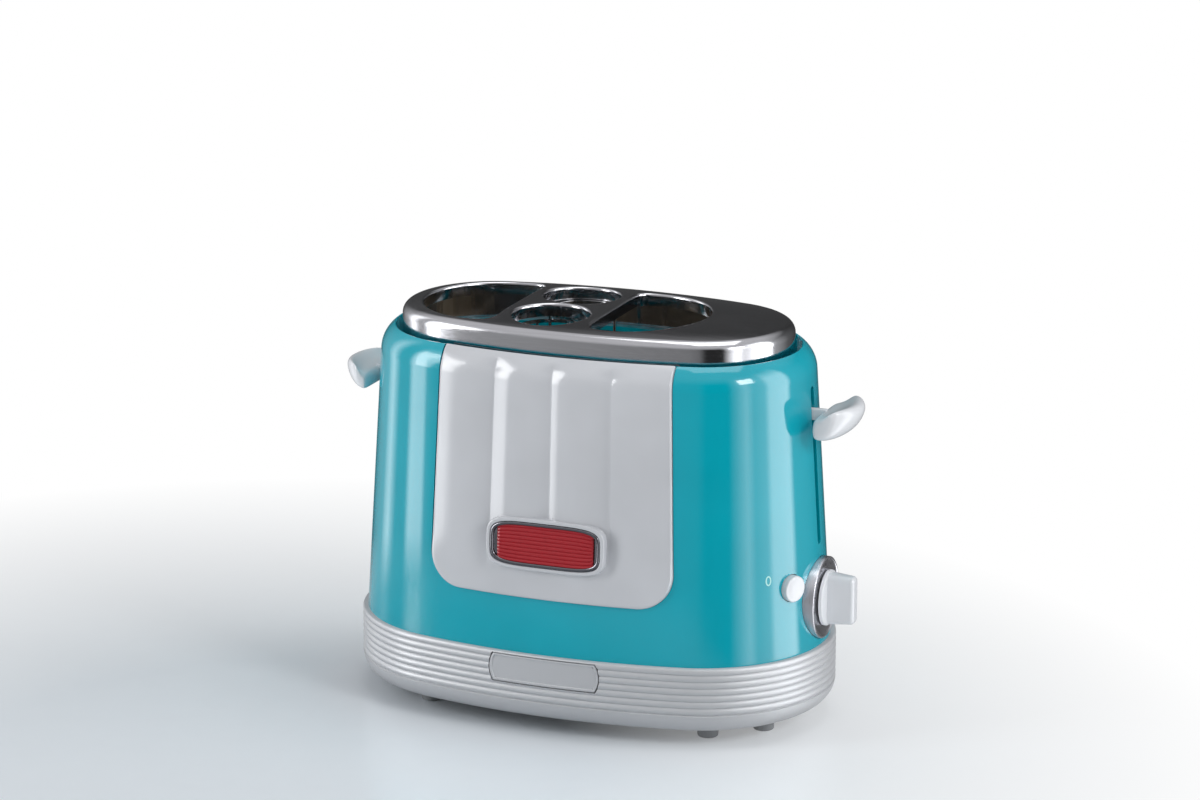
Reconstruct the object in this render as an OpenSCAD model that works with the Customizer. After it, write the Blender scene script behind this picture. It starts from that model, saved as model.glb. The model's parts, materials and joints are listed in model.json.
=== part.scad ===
/* [Shell] */
// Length of the turquoise shell along its lower edge
shell_l = 260; // [250:1:270]
// Depth of the shell along its lower edge, front to back
shell_w = 153; // [150:1:156]
// Plan radius of the bowed front and back faces
face_r = 354; // [340:2:380]
// Height of the shell's lower edge above the table
shell_z = 45.3; // [44.5:0.1:46.5]
// Height at which the upright wall turns into the shoulder
shoulder_z = 190.5; // [186:0.5:192]
// Radius of the rounded shoulder
shoulder_r = 17.5; // [16:0.5:18.5]
// Angle through which the shoulder turns before the rim edge
shoulder_turn = 51; // [48:1:53]
// Draft of the wall, in degrees from upright
draft = 3.6; // [3:0.1:4]
// Thickness of the moulded shell wall
shell_wall = 2.5; // [2.2:0.1:2.8]
// Depth of the recess inside the rim, down to the ledge
rim_recess = 9.5; // [8.5:0.5:10.5]
// Width of the ledge that carries the steel top
ledge_w = 10.5; // [10:0.5:12]
// Width of the slot that each lever runs in
slot_w = 4.8; // [4.4:0.1:5.6]

/* [Steel top] */
// Distance from the shell's lower outline in to the skirt of the steel top
skirt_in = 20.9; // [20.5:0.1:22]
// Overall height of the toaster, to the crown of the steel top
top_z = 217.5; // [216:0.5:219]
// Radius of the rounded edge of the steel top
top_edge_r = 6; // [5:0.5:7]
// Radius of the gentle crown around the flat middle
crown_r = 200; // [190:5:240]
// Width of the crowned border, edge to flat middle
crown_w = 28; // [25:1:29]
// Thickness of the drawn steel sheet
sheet = 1.5; // [1.3:0.1:1.8]
// Depth of the turned-down collar around each opening
collar_h = 7; // [5:0.5:9]

/* [Openings] */
// Middle of the cooking chamber, from the middle of the shell
cook_x = -17.5; // [-18.5:0.5:-16.5]
// Diameter of each sausage hole
sausage_d = 42; // [38:0.5:42.5]
// Spacing of the two sausage holes, front to back
sausage_pitch = 45; // [44.5:0.5:46]
// Radius of the curved side of each bun opening
bun_r = 41.5; // [39:0.5:42]
// Distance from the chamber's middle to the straight side of a bun opening
bun_in = 27; // [26.5:0.5:28]
// Distance from the chamber's middle to the centre of the curved side
bun_c = 38.5; // [37:0.5:39]

/* [Front panel] */
// Half width of the fluted panel at the height of the shell's lower edge
panel_half = 70.2; // [66:0.2:71]
// How much each side of the panel leans in, per millimetre of height
panel_lean = 0.033; // [0.02:0.001:0.04]
// Height of the panel's lower edge above the table
panel_z = 75.5; // [72:0.5:80]
// Radius of the panel's lower corners
panel_corner = 19; // [12:1:22]
// How far the flutes stand out of the wall
flute_out = 1.8; // [1.4:0.1:2.2]
// Depth of the recess that the panel is bedded in
panel_bed = 1.3; // [1.1:0.1:1.5]
// Depth of the crease between two flutes, from the flutes' crest
flute_deep = 2.3; // [1.8:0.1:2.4]

/* [Badge and name plate] */
// Width of the badge with its bezel
badge_w = 62; // [54:1:66]
// Height of the badge with its bezel
badge_h = 22; // [18:0.5:24]
// Height of the badge's middle above the table
badge_z = 105; // [101:1:110]
// Width of the bezel's metal edge
bezel_w = 1.8; // [1.4:0.1:2.4]
// Width of the blank name plate on the base
name_w = 62; // [54:1:68]
// Height of the blank name plate
name_h = 15; // [12:0.5:16]

/* [Base] */
// How far the base stands out past the shell
base_out = 3; // [2.5:0.1:3.5]
// Number of ribs around the base
rib_count = 7; // [6:1:7]
// Spacing of the ribs
rib_pitch = 3.65; // [3.4:0.05:3.7]
// How far each rib stands out
rib_out = 0.9; // [0.6:0.1:1.2]
// Thickness of the base's moulded wall
base_wall = 2.5; // [2.2:0.1:2.8]
// Height of the underside above the table
under_z = 8.5; // [8:0.1:9]
// Diameter of each foot where it meets the table
foot_d = 11; // [9:0.5:12]
// Half spacing of the four main feet along the length
foot_x = 80; // [76:1:82]
// Half spacing of the four main feet, front to back
foot_y = 43; // [40:1:44]
// Distance of the two end feet from the middle
end_foot_x = 104; // [102:0.5:104]
// Half spacing of the two end feet, front to back
end_foot_y = 22; // [20:0.5:22]

/* [Lift mechanism] */
// Height of both levers at rest, at the middle of the stem
lever_z = 170.8; // [169:0.2:172]
// How far a lever goes down to its latch
lever_down = 66; // [60:1:66]
// How far a lever can be raised above its rest
lever_up = 10; // [6:1:10]
// Height of the carriage shelves at rest
shelf_z = 116; // [115:0.5:118]
// Diameter of the guide rods
rod_d = 4; // [3.5:0.1:4.2]
// Distance of the bun carriage's guide rods from the middle of the shell
bun_rod_x = 82; // [81:0.5:83]
// Distance of the sausage carriage's guide rods from the middle of the shell
sausage_rod_x = -109; // [-109.5:0.1:-108.8]
// Width of a lever's paddle, front to back
paddle_w = 41; // [34:1:44]
// How far a paddle's tip is from the middle of the shell
paddle_tip = 149; // [147:0.5:151]

/* [Controls] */
// Height of the timer dial's middle above the table
dial_z = 70; // [69.6:0.1:70.4]
// Diameter of the dial plate
dial_d = 44; // [42:0.5:44.5]
// Distance of the dial plate's face from the middle of the shell
dial_x = 131; // [130.5:0.1:132]
// Diameter of the timer knob's round skirt
knob_d = 30; // [26:0.5:32]
// How far the knob's grip reaches from the middle of the shell
knob_tip = 147; // [145:0.5:148.5]
// Thickness of the knob's grip at its outer end
grip_t = 8; // [7:0.5:10]
// Diameter of the stop button
button_d = 15; // [13:0.5:16]
// Height of the stop button's middle above the table
button_z = 82.7; // [81.5:0.1:84]
// Direction the stop button faces, in degrees from the front towards the right end
button_turn = 64.7; // [63:0.1:66]
// How far the stop button is pressed
button_travel = 2; // [1.5:0.1:2]

/* [Chamber] */
// Thickness of the chamber's steel sheet
tin = 1; // [0.8:0.1:1.2]
// Half width of the chamber between its heat shields
chamber_y = 47; // [46.5:0.1:47.5]
// Place of the chamber's left end plate
left_x = -102.5; // [-102.8:0.1:-102]
// Place of the chamber's right end plate
right_x = 66; // [65:0.5:67]
// Top of the chamber's sheets above the table
chamber_z = 188; // [186:0.5:188.5]
// Thickness of the mica cards
mica = 0.8; // [0.6:0.1:1]
// Number of heater windings on each card
windings = 11; // [6:1:14]

/* [Crumb tray] */
// Length of the crumb tray along the toaster
tray_l = 137; // [120:1:138]
// Depth of the crumb tray's pan, front to back
tray_w = 104; // [90:1:105]
// Height of the tray's underside above the table
tray_z = 24; // [23.5:0.5:25]

/* [Hidden] */
$fn = 96;
clear = 0.3;
run = 0.05;
slip = 0.2;
tiny = 0.01;
half_l = shell_l / 2;
half_w = shell_w / 2;

// The plan is an oval of four arcs that meet smoothly: two wide faces and two tight ends.
face_c = face_r - half_w;
end_r = round(100 * (face_r * face_r - half_l * half_l - face_c * face_c) / (2 * (face_r - half_l))) / 100;
face_a = acos(face_c / (face_r - end_r));
end_c = (face_r - end_r) * sin(face_a);

// Wall and shoulder, as distances in from the lower outline.
lean = tan(draft);
shoulder_in = lean * (shoulder_z - shell_z);
turn_in = shoulder_in + shoulder_r * cos(draft);
turn_z = shoulder_z - shoulder_r * sin(draft);
rim_a = draft + shoulder_turn;
rim_in = turn_in - shoulder_r * cos(rim_a);
rim_z = turn_z + shoulder_r * sin(rim_a);
recess_in = rim_in + 0.8;
ledge_z = rim_z - rim_recess;
ledge_in = recess_in + ledge_w;
ledge_t = 2.5;
sweep_in = 50;

// Steel top: the crowned border starts where the rounded edge ends.
crown_in = skirt_in + top_edge_r;
flat_in = crown_in + crown_w;
crown_a = asin(crown_w / crown_r);
crown_drop = crown_r * (1 - cos(crown_a));
edge_z = top_z - crown_drop;
collar = 1;
collar_lap = 0.1;
lap = 1;
bun_corner = 7;

// Base: ribs, then a rounded bowl down to the underside.
bowl_z = shell_z - rib_count * rib_pitch;
bowl_r = bowl_z - under_z;
bowl_in = bowl_r - base_out;
flange_in = bowl_in + 6;
plate_t = 2;
plate_z = under_z + plate_t;
plate_top = plate_z + plate_t;
bowl_x = base_out - bowl_r;
inner_out = base_out - rib_out - base_wall;
name_z = shell_z - 1.5 - name_h / 2;
end_bow = 2.2;
crease_w = 9;
crease_low = 14;
spigot_d = 6;
screw_d = 3.5;
screw_head_r = 2.9;
screw_head_h = 1.6;
post_d = 8;
deck_gap_y = 40;
board_gap_y = 28;
deck_z = shell_z;
deck_t = 1.5;
deck_top = deck_z + deck_t;
deck_in = shell_wall + 1;
shelf_in = 9;
shelf_t = 2;

// Lift mechanism.
stem_w = slot_w - 1.2;
stem_h = 7;
slider_h = 20;
slider_z = lever_z + 5 - slider_h;
bun_slider_l = 16;
bun_rod_y = 13;
sausage_slider_l = 11;
sausage_rod_y = 11;
riser_t = 1.5;
rail_y = chamber_y - 3.5;
rail_t = 1.6;
rail_h = 6;
arm_t = 1.5;
rod_top = chamber_z + 1;
bridge_t = 1.5;
spring_r = 3.4;
spring_wire = 1;

// Chamber.
card_z = deck_top + 5;
card_top = chamber_z - 6;
card_left = cook_x - bun_in + 3.5;
card_right = cook_x + bun_in - 3.5;
card_shoulder = shelf_z + rail_h + lever_up + 4;
guard_wire = 1.6;
guard_z = card_z + 6;
guard_top = card_top - 2;
guard_ys = [8, 20, 32];
bun_out = bun_c + bun_r;
GUARDS = [cook_x - bun_out + 2.5, cook_x - bun_in - 1.5, cook_x + bun_in + 1, cook_x + bun_out - 1];
cage_r = 19;
arm_gap = 5;
split_y = 5;
shelf_thick = 1.5;
cup_r = 15;
cup_h = 5;
shield_turn = -90;
shield_slope = 0.65;
low_card_y = 38;
strip_t = 0.2;
strip_w = 3;
plate_x = right_x + tin + 5.5;

// Controls.
button_r = end_r - lean * (button_z - shell_z);
board_x = 94;
board_t = 1.6;
board_top = 96;
timer_l = 16;
timer_s = 22;
shaft_d = 6;
bushing_r = 4.5;
dial_deep = 10;
dial_face = 2;
magnet_x = bun_rod_x + 2;
magnet_top = 69.7;
switch_r = 53.9;
paddle_x = 127.4;
paddle_r = 26;
paddle_in = 14;
gland_r = 6.5;
gland_z = 32;
gland_turn = 50;
cord_d = 7;

// Crumb tray.
tray_h = 6;
tray_t = 1;
tray_back_y = 66;
tray_face_z = tray_z - 0.6;
tray_face_top = shell_z - rib_pitch;

FEET = [[foot_x, foot_y], [foot_x, -foot_y], [-foot_x, foot_y], [-foot_x, -foot_y],
        [end_foot_x, end_foot_y], [end_foot_x, -end_foot_y]];
POSTS = [[-106, 14], [-106, -14], [88, 38], [88, -38]];

// Colours
turquoise = [0.0, 0.66, 0.72];
pale_grey = [0.86, 0.87, 0.89];
silver = [0.72, 0.73, 0.76];
steel = [0.78, 0.79, 0.8];
white = [0.93, 0.94, 0.95];

// ---- Plan helpers ----

// Sweeps a profile around the whole oval: x is the distance out of the lower outline, y the height.
module around() {
  for (x = [0, 1], y = [0, 1])
    mirror([x, 0, 0])
      mirror([0, y, 0])
        quarter() children();
}

// Right front quarter of the oval: both arcs start from the line on which they meet.
module quarter() {
  intersection() {
    translate([0, face_c, 0])
      rotate([0, 0, face_a]) {
        rotate_extrude(angle = 30, start = 240, $fn = 360)
          translate([face_r, 0])
            children();
        translate([0, end_r - face_r, 0])
          rotate_extrude(angle = 90, start = 270, $fn = 120)
            translate([end_r, 0])
              children();
      }
    translate([0, -half_w - 20, 0])
      cube([half_l + 20, half_w + 20, 2 * top_z]);
  }
}

// Sweeps a profile along the front face only.
module faces_only() {
  translate([0, face_c, 0])
    rotate_extrude(angle = 30, start = 255, $fn = 360)
      translate([face_r, 0])
        children();
}

// Flat oval that lies a distance inside the lower outline, made of the same arcs as the sweep.
module oval(inset) {
  reach = face_r + base_out;
  for (x = [0, 1], y = [0, 1])
    mirror([x, 0])
      mirror([0, y])
        intersection() {
          translate([0, face_c])
            rotate(face_a) {
              intersection() {
                circle(r = face_r - inset, $fn = 720);
                translate([-reach, -reach])
                  square([reach, reach]);
              }
              translate([0, end_r - face_r])
                intersection() {
                  circle(r = end_r - inset, $fn = 180);
                  translate([0, -reach])
                    square([reach, 2 * reach]);
                }
            }
          translate([0, -half_w - base_out])
            square([half_l + base_out, half_w + base_out]);
        }
}

// Arc of a circle as a list of points, from one angle to another.
function arc(cx, cy, r, from, to, steps) =
  [for (i = [0 : steps]) let (a = from + (to - from) * i / steps) [cx + r * cos(a), cy + r * sin(a)]];

// Bar between two heights, standing on a rectangle in plan.
module block(x0, x1, y0, y1, z0, z1) {
  translate([x0, y0, z0])
    cube([x1 - x0, y1 - y0, z1 - z0]);
}

// ---- Shell ----

// Region inside the wall's face, moved out by a distance: leaning wall, then the rounded shoulder.
module inside_wall(out) {
  r = shoulder_r + out;
  intersection() {
    translate([-turn_in, turn_z])
      rotate(draft) {
        translate([-sweep_in, -turn_z])
          square([sweep_in + r, turn_z]);
        intersection() {
          circle(r = r);
          translate([-r, 0])
            square([2 * r, r]);
        }
      }
    translate([-2 * sweep_in, shell_z])
      square([4 * sweep_in, rim_z]);
  }
}

// Layer that follows the wall and shoulder up to the rim.
module wall_layer(out, deep) {
  difference() {
    inside_wall(out);
    inside_wall(-deep);
    translate([-2 * sweep_in, 0])
      square([2 * sweep_in - recess_in, 2 * rim_z]);
  }
}

module shell_section() {
  difference() {
    inside_wall(0);
    difference() {
      inside_wall(-shell_wall);
      translate([-ledge_in, ledge_z - ledge_t])
        square([ledge_in, rim_z]);
    }
    translate([-2 * sweep_in, ledge_z])
      square([2 * sweep_in - recess_in, rim_z]);
    translate([-2 * sweep_in, 0])
      square([2 * sweep_in - ledge_in, 2 * rim_z]);
  }
}

// The turquoise body: one draped wall with a rim, a ledge for the steel top, and its openings.
module outer_shell() {
  color(turquoise)
    difference() {
      around() shell_section();
      panel_recess();
      lever_slot(1);
      lever_slot(-1);
      along_dial()
        translate([0, 0, half_l - 30])
          cylinder(h = 60, r = dial_d / 2 + slip);
      along_button()
        translate([0, 0, button_r - 12])
          cylinder(h = 30, r = button_d / 2 + clear);
    }
}

module lever_slot(side) {
  low = lever_z - lever_down - stem_h / 2 - 2;
  high = lever_z + lever_up + stem_h / 2 + 1;
  translate([side * half_l, 0, (low + high) / 2])
    cube([50, slot_w, high - low], center = true);
}

// ---- Front panel ----

function panel_at(z) = panel_half - panel_lean * (z - shell_z);

// The panel's outline, seen from the front, grown by a margin.
module panel_outline(grow) {
  r = panel_corner + grow;
  low = panel_z + panel_corner;
  high = rim_z + 8;
  polygon([[-panel_at(low) - grow, low], [panel_at(low) + grow, low],
           [panel_at(high) + grow, high], [-panel_at(high) - grow, high]]);
  for (side = [-1, 1])
    translate([side * (panel_at(low) - panel_corner), low])
      circle(r = r);
  translate([0, low - r / 2])
    square([2 * (panel_at(low) - panel_corner), r], center = true);
}

module from_front(depth) {
  rotate([90, 0, 0])
    linear_extrude(height = depth)
      children();
}

// Wedge that cuts the crease between two flutes; i is its place across the panel.
module crease(i) {
  low = panel_z + crease_low;
  mid_z = (low + rim_z) / 2;
  crest_r = face_r + flute_out - lean * (mid_z - shell_z);
  x = i * panel_at(mid_z) / 2;
  translate([x, face_c - sqrt(crest_r * crest_r - x * x), mid_z])
    rotate([-draft, -atan(i / 2 * panel_lean), asin(x / crest_r)])
      linear_extrude(height = rim_z - low, center = true)
        polygon([[-crease_w, -1], [crease_w, -1], [crease_w, 0], [0, flute_deep], [-crease_w, 0]]);
}

module front_panel() {
  color(pale_grey)
    difference() {
      intersection() {
        faces_only() wall_layer(flute_out, panel_bed);
        from_front(half_w + 20) panel_outline(0);
      }
      for (i = [-1 : 1])
        crease(i);
      badge_place()
        linear_extrude(height = 12)
          bowed_plate(badge_w, badge_h, slip);
    }
}

// The bed that the panel lies in, with room around it.
module panel_recess() {
  intersection() {
    faces_only() wall_layer(8, panel_bed + slip);
    from_front(half_w + 20) panel_outline(slip);
  }
}

// ---- Badge and name plate ----

// A plate with gently bowed ends, grown by a margin.
module bowed_plate(w, h, grow) {
  long = w / 2 + grow;
  high = h / 2 + grow;
  r = (high * high + end_bow * end_bow) / (2 * end_bow);
  square([2 * (long - end_bow), 2 * high], center = true);
  for (side = [-1, 1])
    intersection() {
      translate([side * (long - r), 0])
        circle(r = r);
      translate([side * long, 0])
        square([2 * end_bow + tiny, 2 * high], center = true);
    }
}

// Places a drawing on the bed cut for the badge, facing out of the leaning wall.
module badge_place() {
  bed_y = half_w - lean * (badge_z - shell_z) - panel_bed + 0.45;
  translate([0, -bed_y, badge_z])
    rotate([90 - draft, 0, 0])
      children();
}

module badge_bezel() {
  color("silver")
    badge_place()
      linear_extrude(height = 4)
        difference() {
          bowed_plate(badge_w, badge_h, 0);
          bowed_plate(badge_w - 2 * bezel_w, badge_h - 2 * bezel_w, slip);
        }
}

module badge_plate() {
  ribs = 9;
  face_h = badge_h - 2 * bezel_w;
  color("firebrick")
    badge_place() {
      linear_extrude(height = 2.6)
        bowed_plate(badge_w - 2 * bezel_w, face_h, 0);
      for (i = [1 : ribs])
        translate([0, face_h * (i / (ribs + 1) - 0.5), 2.6])
          rotate([0, 90, 0])
            cylinder(h = badge_w - 6 * bezel_w, r = 0.5, center = true, $fn = 24);
    }
}

// ---- Base ----

// Region inside the base's face: ribs above, a rounded bowl below.
module inside_base() {
  rib_r = (rib_pitch * rib_pitch / 4 + rib_out * rib_out) / (2 * rib_out);
  for (i = [0.5 : rib_count])
    intersection() {
      translate([base_out - rib_r, shell_z - rib_pitch * i])
        circle(r = rib_r, $fn = 48);
      translate([inner_out - 1, shell_z - rib_pitch * (i + 0.5)])
        square([20, rib_pitch]);
    }
  translate([bowl_x, bowl_z])
    square([inner_out + 0.5 - bowl_x, shell_z - bowl_z]);
  intersection() {
    translate([bowl_x, bowl_z])
      circle(r = bowl_r);
    translate([bowl_x, under_z])
      square([bowl_r, bowl_r]);
  }
}

// Wall of the base, without its shelf and flange.
module base_wall_section() {
  difference() {
    inside_base();
    translate([bowl_x - tiny, bowl_z])
      square([inner_out + tiny - bowl_x, shell_z]);
    intersection() {
      translate([bowl_x, bowl_z])
        circle(r = inner_out - bowl_x);
      translate([bowl_x - tiny, under_z])
        square([bowl_r, bowl_r]);
    }
    translate([bowl_x - tiny, plate_z])
      square([slip, bowl_r]);
  }
}

module base_section() {
  base_wall_section();
  translate([-flange_in, under_z])
    square([flange_in + bowl_x + slip, plate_t]);
  translate([-shelf_in, shell_z - shelf_t])
    square([shelf_in + inner_out + tiny, shelf_t]);
}

module base_skirt() {
  color(silver)
    difference() {
      around() base_section();
      tray_gap();
      from_front(half_w + 20)
        translate([0, name_z])
          bowed_plate(name_w, name_h, slip);
      gland_place()
        translate([0, 0, end_r])
          cylinder(h = 40, r = gland_r + run, center = true);
    }
}

// Blank plate let into the front of the base.
module name_plate() {
  color(silver)
    intersection() {
      faces_only()
        translate([inner_out, bowl_z - 2])
          square([base_out + 0.4 - inner_out, shell_z - bowl_z]);
      from_front(half_w + 20)
        translate([0, name_z])
          bowed_plate(name_w, name_h, 0);
    }
}

module bottom_plate() {
  color(steel)
    difference() {
      translate([0, 0, plate_z])
        linear_extrude(height = plate_t)
          oval(bowl_in + slip);
      for (p = FEET)
        translate([p[0], p[1], plate_z - 1])
          cylinder(h = 2 * plate_t, r = spigot_d / 2 + run);
      for (p = POSTS)
        translate([p[0], p[1], plate_z - 1])
          cylinder(h = 2 * plate_t, r = screw_d / 2 + run);
    }
}

module feet() {
  color("darkgray")
    for (p = FEET)
      translate([p[0], p[1], 0])
        rotate_extrude()
          polygon([[0, 0], [foot_d / 2 - 0.8, 0], [foot_d / 2, 0.8], [foot_d / 2 + 0.8, plate_z],
                   [spigot_d / 2, plate_z], [spigot_d / 2, plate_top + 1], [0, plate_top + 1]]);
}

module base_screws() {
  color("gray")
    for (p = POSTS)
      translate([p[0], p[1], 0]) {
        translate([0, 0, plate_z - screw_head_h])
          cylinder(h = screw_head_h, r = screw_head_r);
        translate([0, 0, plate_z - tiny])
          cylinder(h = 20, r = screw_d / 2);
      }
}

module posts() {
  color("lightgray")
    for (p = POSTS)
      translate([p[0], p[1], plate_top])
        difference() {
          cylinder(h = deck_z - plate_top, r = post_d / 2);
          translate([0, 0, -1])
            cylinder(h = 25, r = screw_d / 2 + run);
        }
}

// Steel deck that closes the base and carries the chamber, open above the tray.
module deck_plate() {
  color(steel)
    difference() {
      translate([0, 0, deck_z])
        linear_extrude(height = deck_t)
          oval(deck_in);
      block(-tray_l / 2 + 3, right_x - 4, -deck_gap_y, deck_gap_y, deck_z - 1, deck_top + 1);
      for (y = [-board_gap_y, board_gap_y])
        translate([bun_rod_x + 20, y, deck_z - 1])
          cylinder(h = 2 * deck_t + 1, r = 4);
    }
}

// ---- Crumb tray ----

// The opening in the back of the base that the tray's face fills.
module tray_gap() {
  block(-tray_l / 2 - clear, tray_l / 2 + clear, tray_back_y - 8, half_w + 20,
        tray_face_z - clear, tray_face_top + clear);
}

module tray_outline(inset) {
  intersection() {
    oval(-inner_out - lap);
    translate([-tray_l / 2 + 1 + inset, tray_back_y - tray_w + inset])
      square([tray_l - 2 - 2 * inset, tray_w + 20]);
  }
}

module crumb_tray() {
  color(silver)
    intersection() {
      mirror([0, 1, 0])
        faces_only() base_wall_section();
      block(-tray_l / 2, tray_l / 2, 0, half_w + 20, tray_face_z, tray_face_top);
    }
  color(steel) {
    translate([0, 0, tray_z])
      linear_extrude(height = tray_t)
        tray_outline(0);
    difference() {
      translate([0, 0, tray_z])
        linear_extrude(height = tray_h)
          tray_outline(0);
      translate([0, 0, tray_z - 1])
        linear_extrude(height = tray_h + 2)
          intersection() {
            tray_outline(tray_t);
            oval(tray_t - inner_out);
          }
    }
  }
}

module tray_runners() {
  outer = tray_l / 2 - 1 + clear;
  color(steel)
    for (side = [-1, 1])
      translate([side * (outer - 2), 0, 0]) {
        translate([0, (tray_back_y - tray_w) / 2 + 28, (plate_top + tray_z - clear) / 2])
          cube([8, tray_w - 14, tray_z - clear - plate_top], center = true);
        translate([side * 2.75, (tray_back_y - tray_w) / 2 + 28, plate_top + 8])
          cube([1.5, tray_w - 14, 16], center = true);
      }
}

// ---- Steel top ----

// A bun opening with its straight side towards +x, grown by a margin.
module bun_shape(grow) {
  r = bun_r + grow;
  q = bun_corner + grow;
  d = bun_c - bun_in + grow;
  y = sqrt((r - q) * (r - q) - (d - q) * (d - q));
  a = atan2(y, d - q);
  intersection() {
    circle(r = r);
    polygon([[0, 0], [3 * r * cos(a), 3 * r * sin(a)], [-3 * r, 3 * r],
             [-3 * r, -3 * r], [3 * r * cos(a), -3 * r * sin(a)]]);
  }
  polygon([[0, 0], [d - q, y], [d, y], [d, -y], [d - q, -y]]);
  for (side = [-1, 1])
    translate([d - q, side * y])
      circle(r = q);
}

module openings(grow) {
  for (side = [-1, 1]) {
    translate([cook_x + side * bun_c, 0])
      mirror([side + 1, 0])
        bun_shape(grow);
    translate([cook_x, side * sausage_pitch / 2])
      circle(r = sausage_d / 2 + grow);
  }
}

// Face of the sheet, moved in by a distance: upright skirt, rounded edge, crown, then a flat lap.
function top_line(inset) = concat(
  [[-skirt_in - inset, ledge_z]],
  arc(-crown_in, edge_z - top_edge_r, top_edge_r - inset, 0, 90 - crown_a, 8),
  arc(-flat_in, top_z - crown_r, crown_r - inset, 90 - crown_a, 90, 6),
  [[-flat_in - 2 * lap, top_z - inset]]);

function reversed(points) = [for (i = [len(points) - 1 : -1 : 0]) points[i]];

// Crowned border with its skirt.
module top_border() {
  around()
    polygon(concat(top_line(0), reversed(top_line(sheet))));
}

// Drawn steel sheet: skirt, crowned border and flat middle, with a collar around each opening.
module steel_top() {
  color(steel) {
    difference() {
      top_border();
      translate([0, 0, top_z - 2 * collar_h])
        linear_extrude(height = 4 * collar_h)
          openings(0);
    }
    translate([0, 0, top_z - sheet])
      linear_extrude(height = sheet)
        difference() {
          oval(flat_in + lap);
          openings(0);
        }
    translate([0, 0, top_z - collar_h])
      linear_extrude(height = collar_h - sheet + collar_lap)
        difference() {
          openings(collar);
          openings(0);
        }
  }
}

// ---- Chamber ----

// Inner face of the heat shields: straight, then turned in beside the left end plate.
function shield_y(x) = x > shield_turn ? chamber_y : chamber_y - (shield_turn - x) * shield_slope;

module left_end_plate() {
  y = shield_y(left_x + tin);
  color(steel)
    difference() {
      block(left_x, left_x + tin, -y, y, deck_top, chamber_z);
      block(left_x - 1, left_x + tin + 1, -arm_gap / 2, arm_gap / 2, shelf_z - lever_down - 2,
            shelf_z + rail_h + lever_up + 2);
    }
}

module right_end_plate() {
  color(steel)
    difference() {
      block(right_x, right_x + tin, -chamber_y, chamber_y, deck_top, chamber_z);
      for (side = [-1, 1])
        translate([right_x, side * rail_y, 0])
          block(-1, tin + 1, -rail_t / 2 - 0.7, rail_t / 2 + 0.7, shelf_z - lever_down - 2,
                shelf_z + rail_h + lever_up + 2);
    }
}

module heat_shield(side) {
  y = shield_y(left_x + tin);
  color(steel)
    mirror([0, side < 0 ? 1 : 0, 0])
      translate([0, 0, deck_top])
        linear_extrude(height = chamber_z - deck_top)
          polygon([[right_x + tin, chamber_y], [shield_turn, chamber_y], [left_x + tin, y],
                   [left_x + tin, y + tin], [shield_turn, chamber_y + tin],
                   [right_x + tin, chamber_y + tin]]);
}

module front_heat_shield() {
  heat_shield(-1);
}

module rear_heat_shield() {
  heat_shield(1);
}

// One heater card: wide above the rails' travel, narrow below it.
module card(x, wide, slotted) {
  low_y = min(rail_y - rail_t / 2 - 1.5, wide + 1);
  difference() {
    union() {
      block(x, x + mica, -low_y, low_y, card_z, card_shoulder);
      block(x, x + mica, -wide, wide, card_shoulder, card_top);
    }
    if (slotted)
      block(x - 1, x + mica + 1, -arm_gap / 2, arm_gap / 2, card_z - 1,
            shelf_z + rail_h + lever_up + 2);
  }
}

// Each card: where it stands, how far it reaches, if the arm passes through it, and the side it heats.
CARDS = [[left_x + tin, low_card_y, true, 1], [card_left, chamber_y, true, -1],
         [card_right, chamber_y, false, 1], [right_x - mica, chamber_y, false, -1]];

module mica_cards() {
  color("tan")
    for (c = CARDS)
      card(c[0], c[1], c[2]);
}

// Flat heating strips on the side of each card that faces a bun, clear of the arm's slot.
module heater_wires() {
  inner = arm_gap / 2 + 3;
  outer = low_card_y - 3;
  color("sienna")
    for (c = CARDS, i = [0 : windings - 1], side = [-1, 1]) {
      x = c[3] > 0 ? c[0] + mica : c[0] - strip_t;
      z = card_z + 8 + (card_top - card_z - 16) * i / (windings - 1);
      block(x, x + strip_t, side > 0 ? inner : -outer, side > 0 ? outer : -inner,
            z - strip_w / 2, z + strip_w / 2);
    }
}

module wire_along_y(x, y0, y1, z) {
  translate([x, y0, z])
    rotate([-90, 0, 0])
      cylinder(h = y1 - y0, r = guard_wire / 2);
}

// Wire guards on both sides of each bun.
module bun_guards() {
  color("silver")
    for (x = GUARDS) {
      y = min(shield_y(x), chamber_y);
      wire_along_y(x, -y, y, guard_top);
      for (side = [-1, 1]) {
        wire_along_y(x, side > 0 ? guard_ys[0] : -guard_ys[2], side > 0 ? guard_ys[2] : -guard_ys[0],
                     guard_z);
        for (y = guard_ys)
          translate([x, side * y, guard_z])
            cylinder(h = guard_top - guard_z, r = guard_wire / 2);
      }
    }
}

// Two wire cages that hold the sausages upright.
module sausage_guides() {
  low = deck_top + guard_wire / 2;
  high = top_z - collar_h - 2;
  color("silver")
    for (side = [-1, 1])
      translate([cook_x, side * sausage_pitch / 2, 0]) {
        for (z = [low, high])
          translate([0, 0, z])
            rotate_extrude()
              translate([cage_r, 0])
                square(guard_wire, center = true);
        for (a = [45 : 90 : 315])
          rotate([0, 0, a])
            translate([cage_r, 0, low])
              cylinder(h = high - low, r = guard_wire / 2);
      }
}

// ---- Bun lift ----

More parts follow.
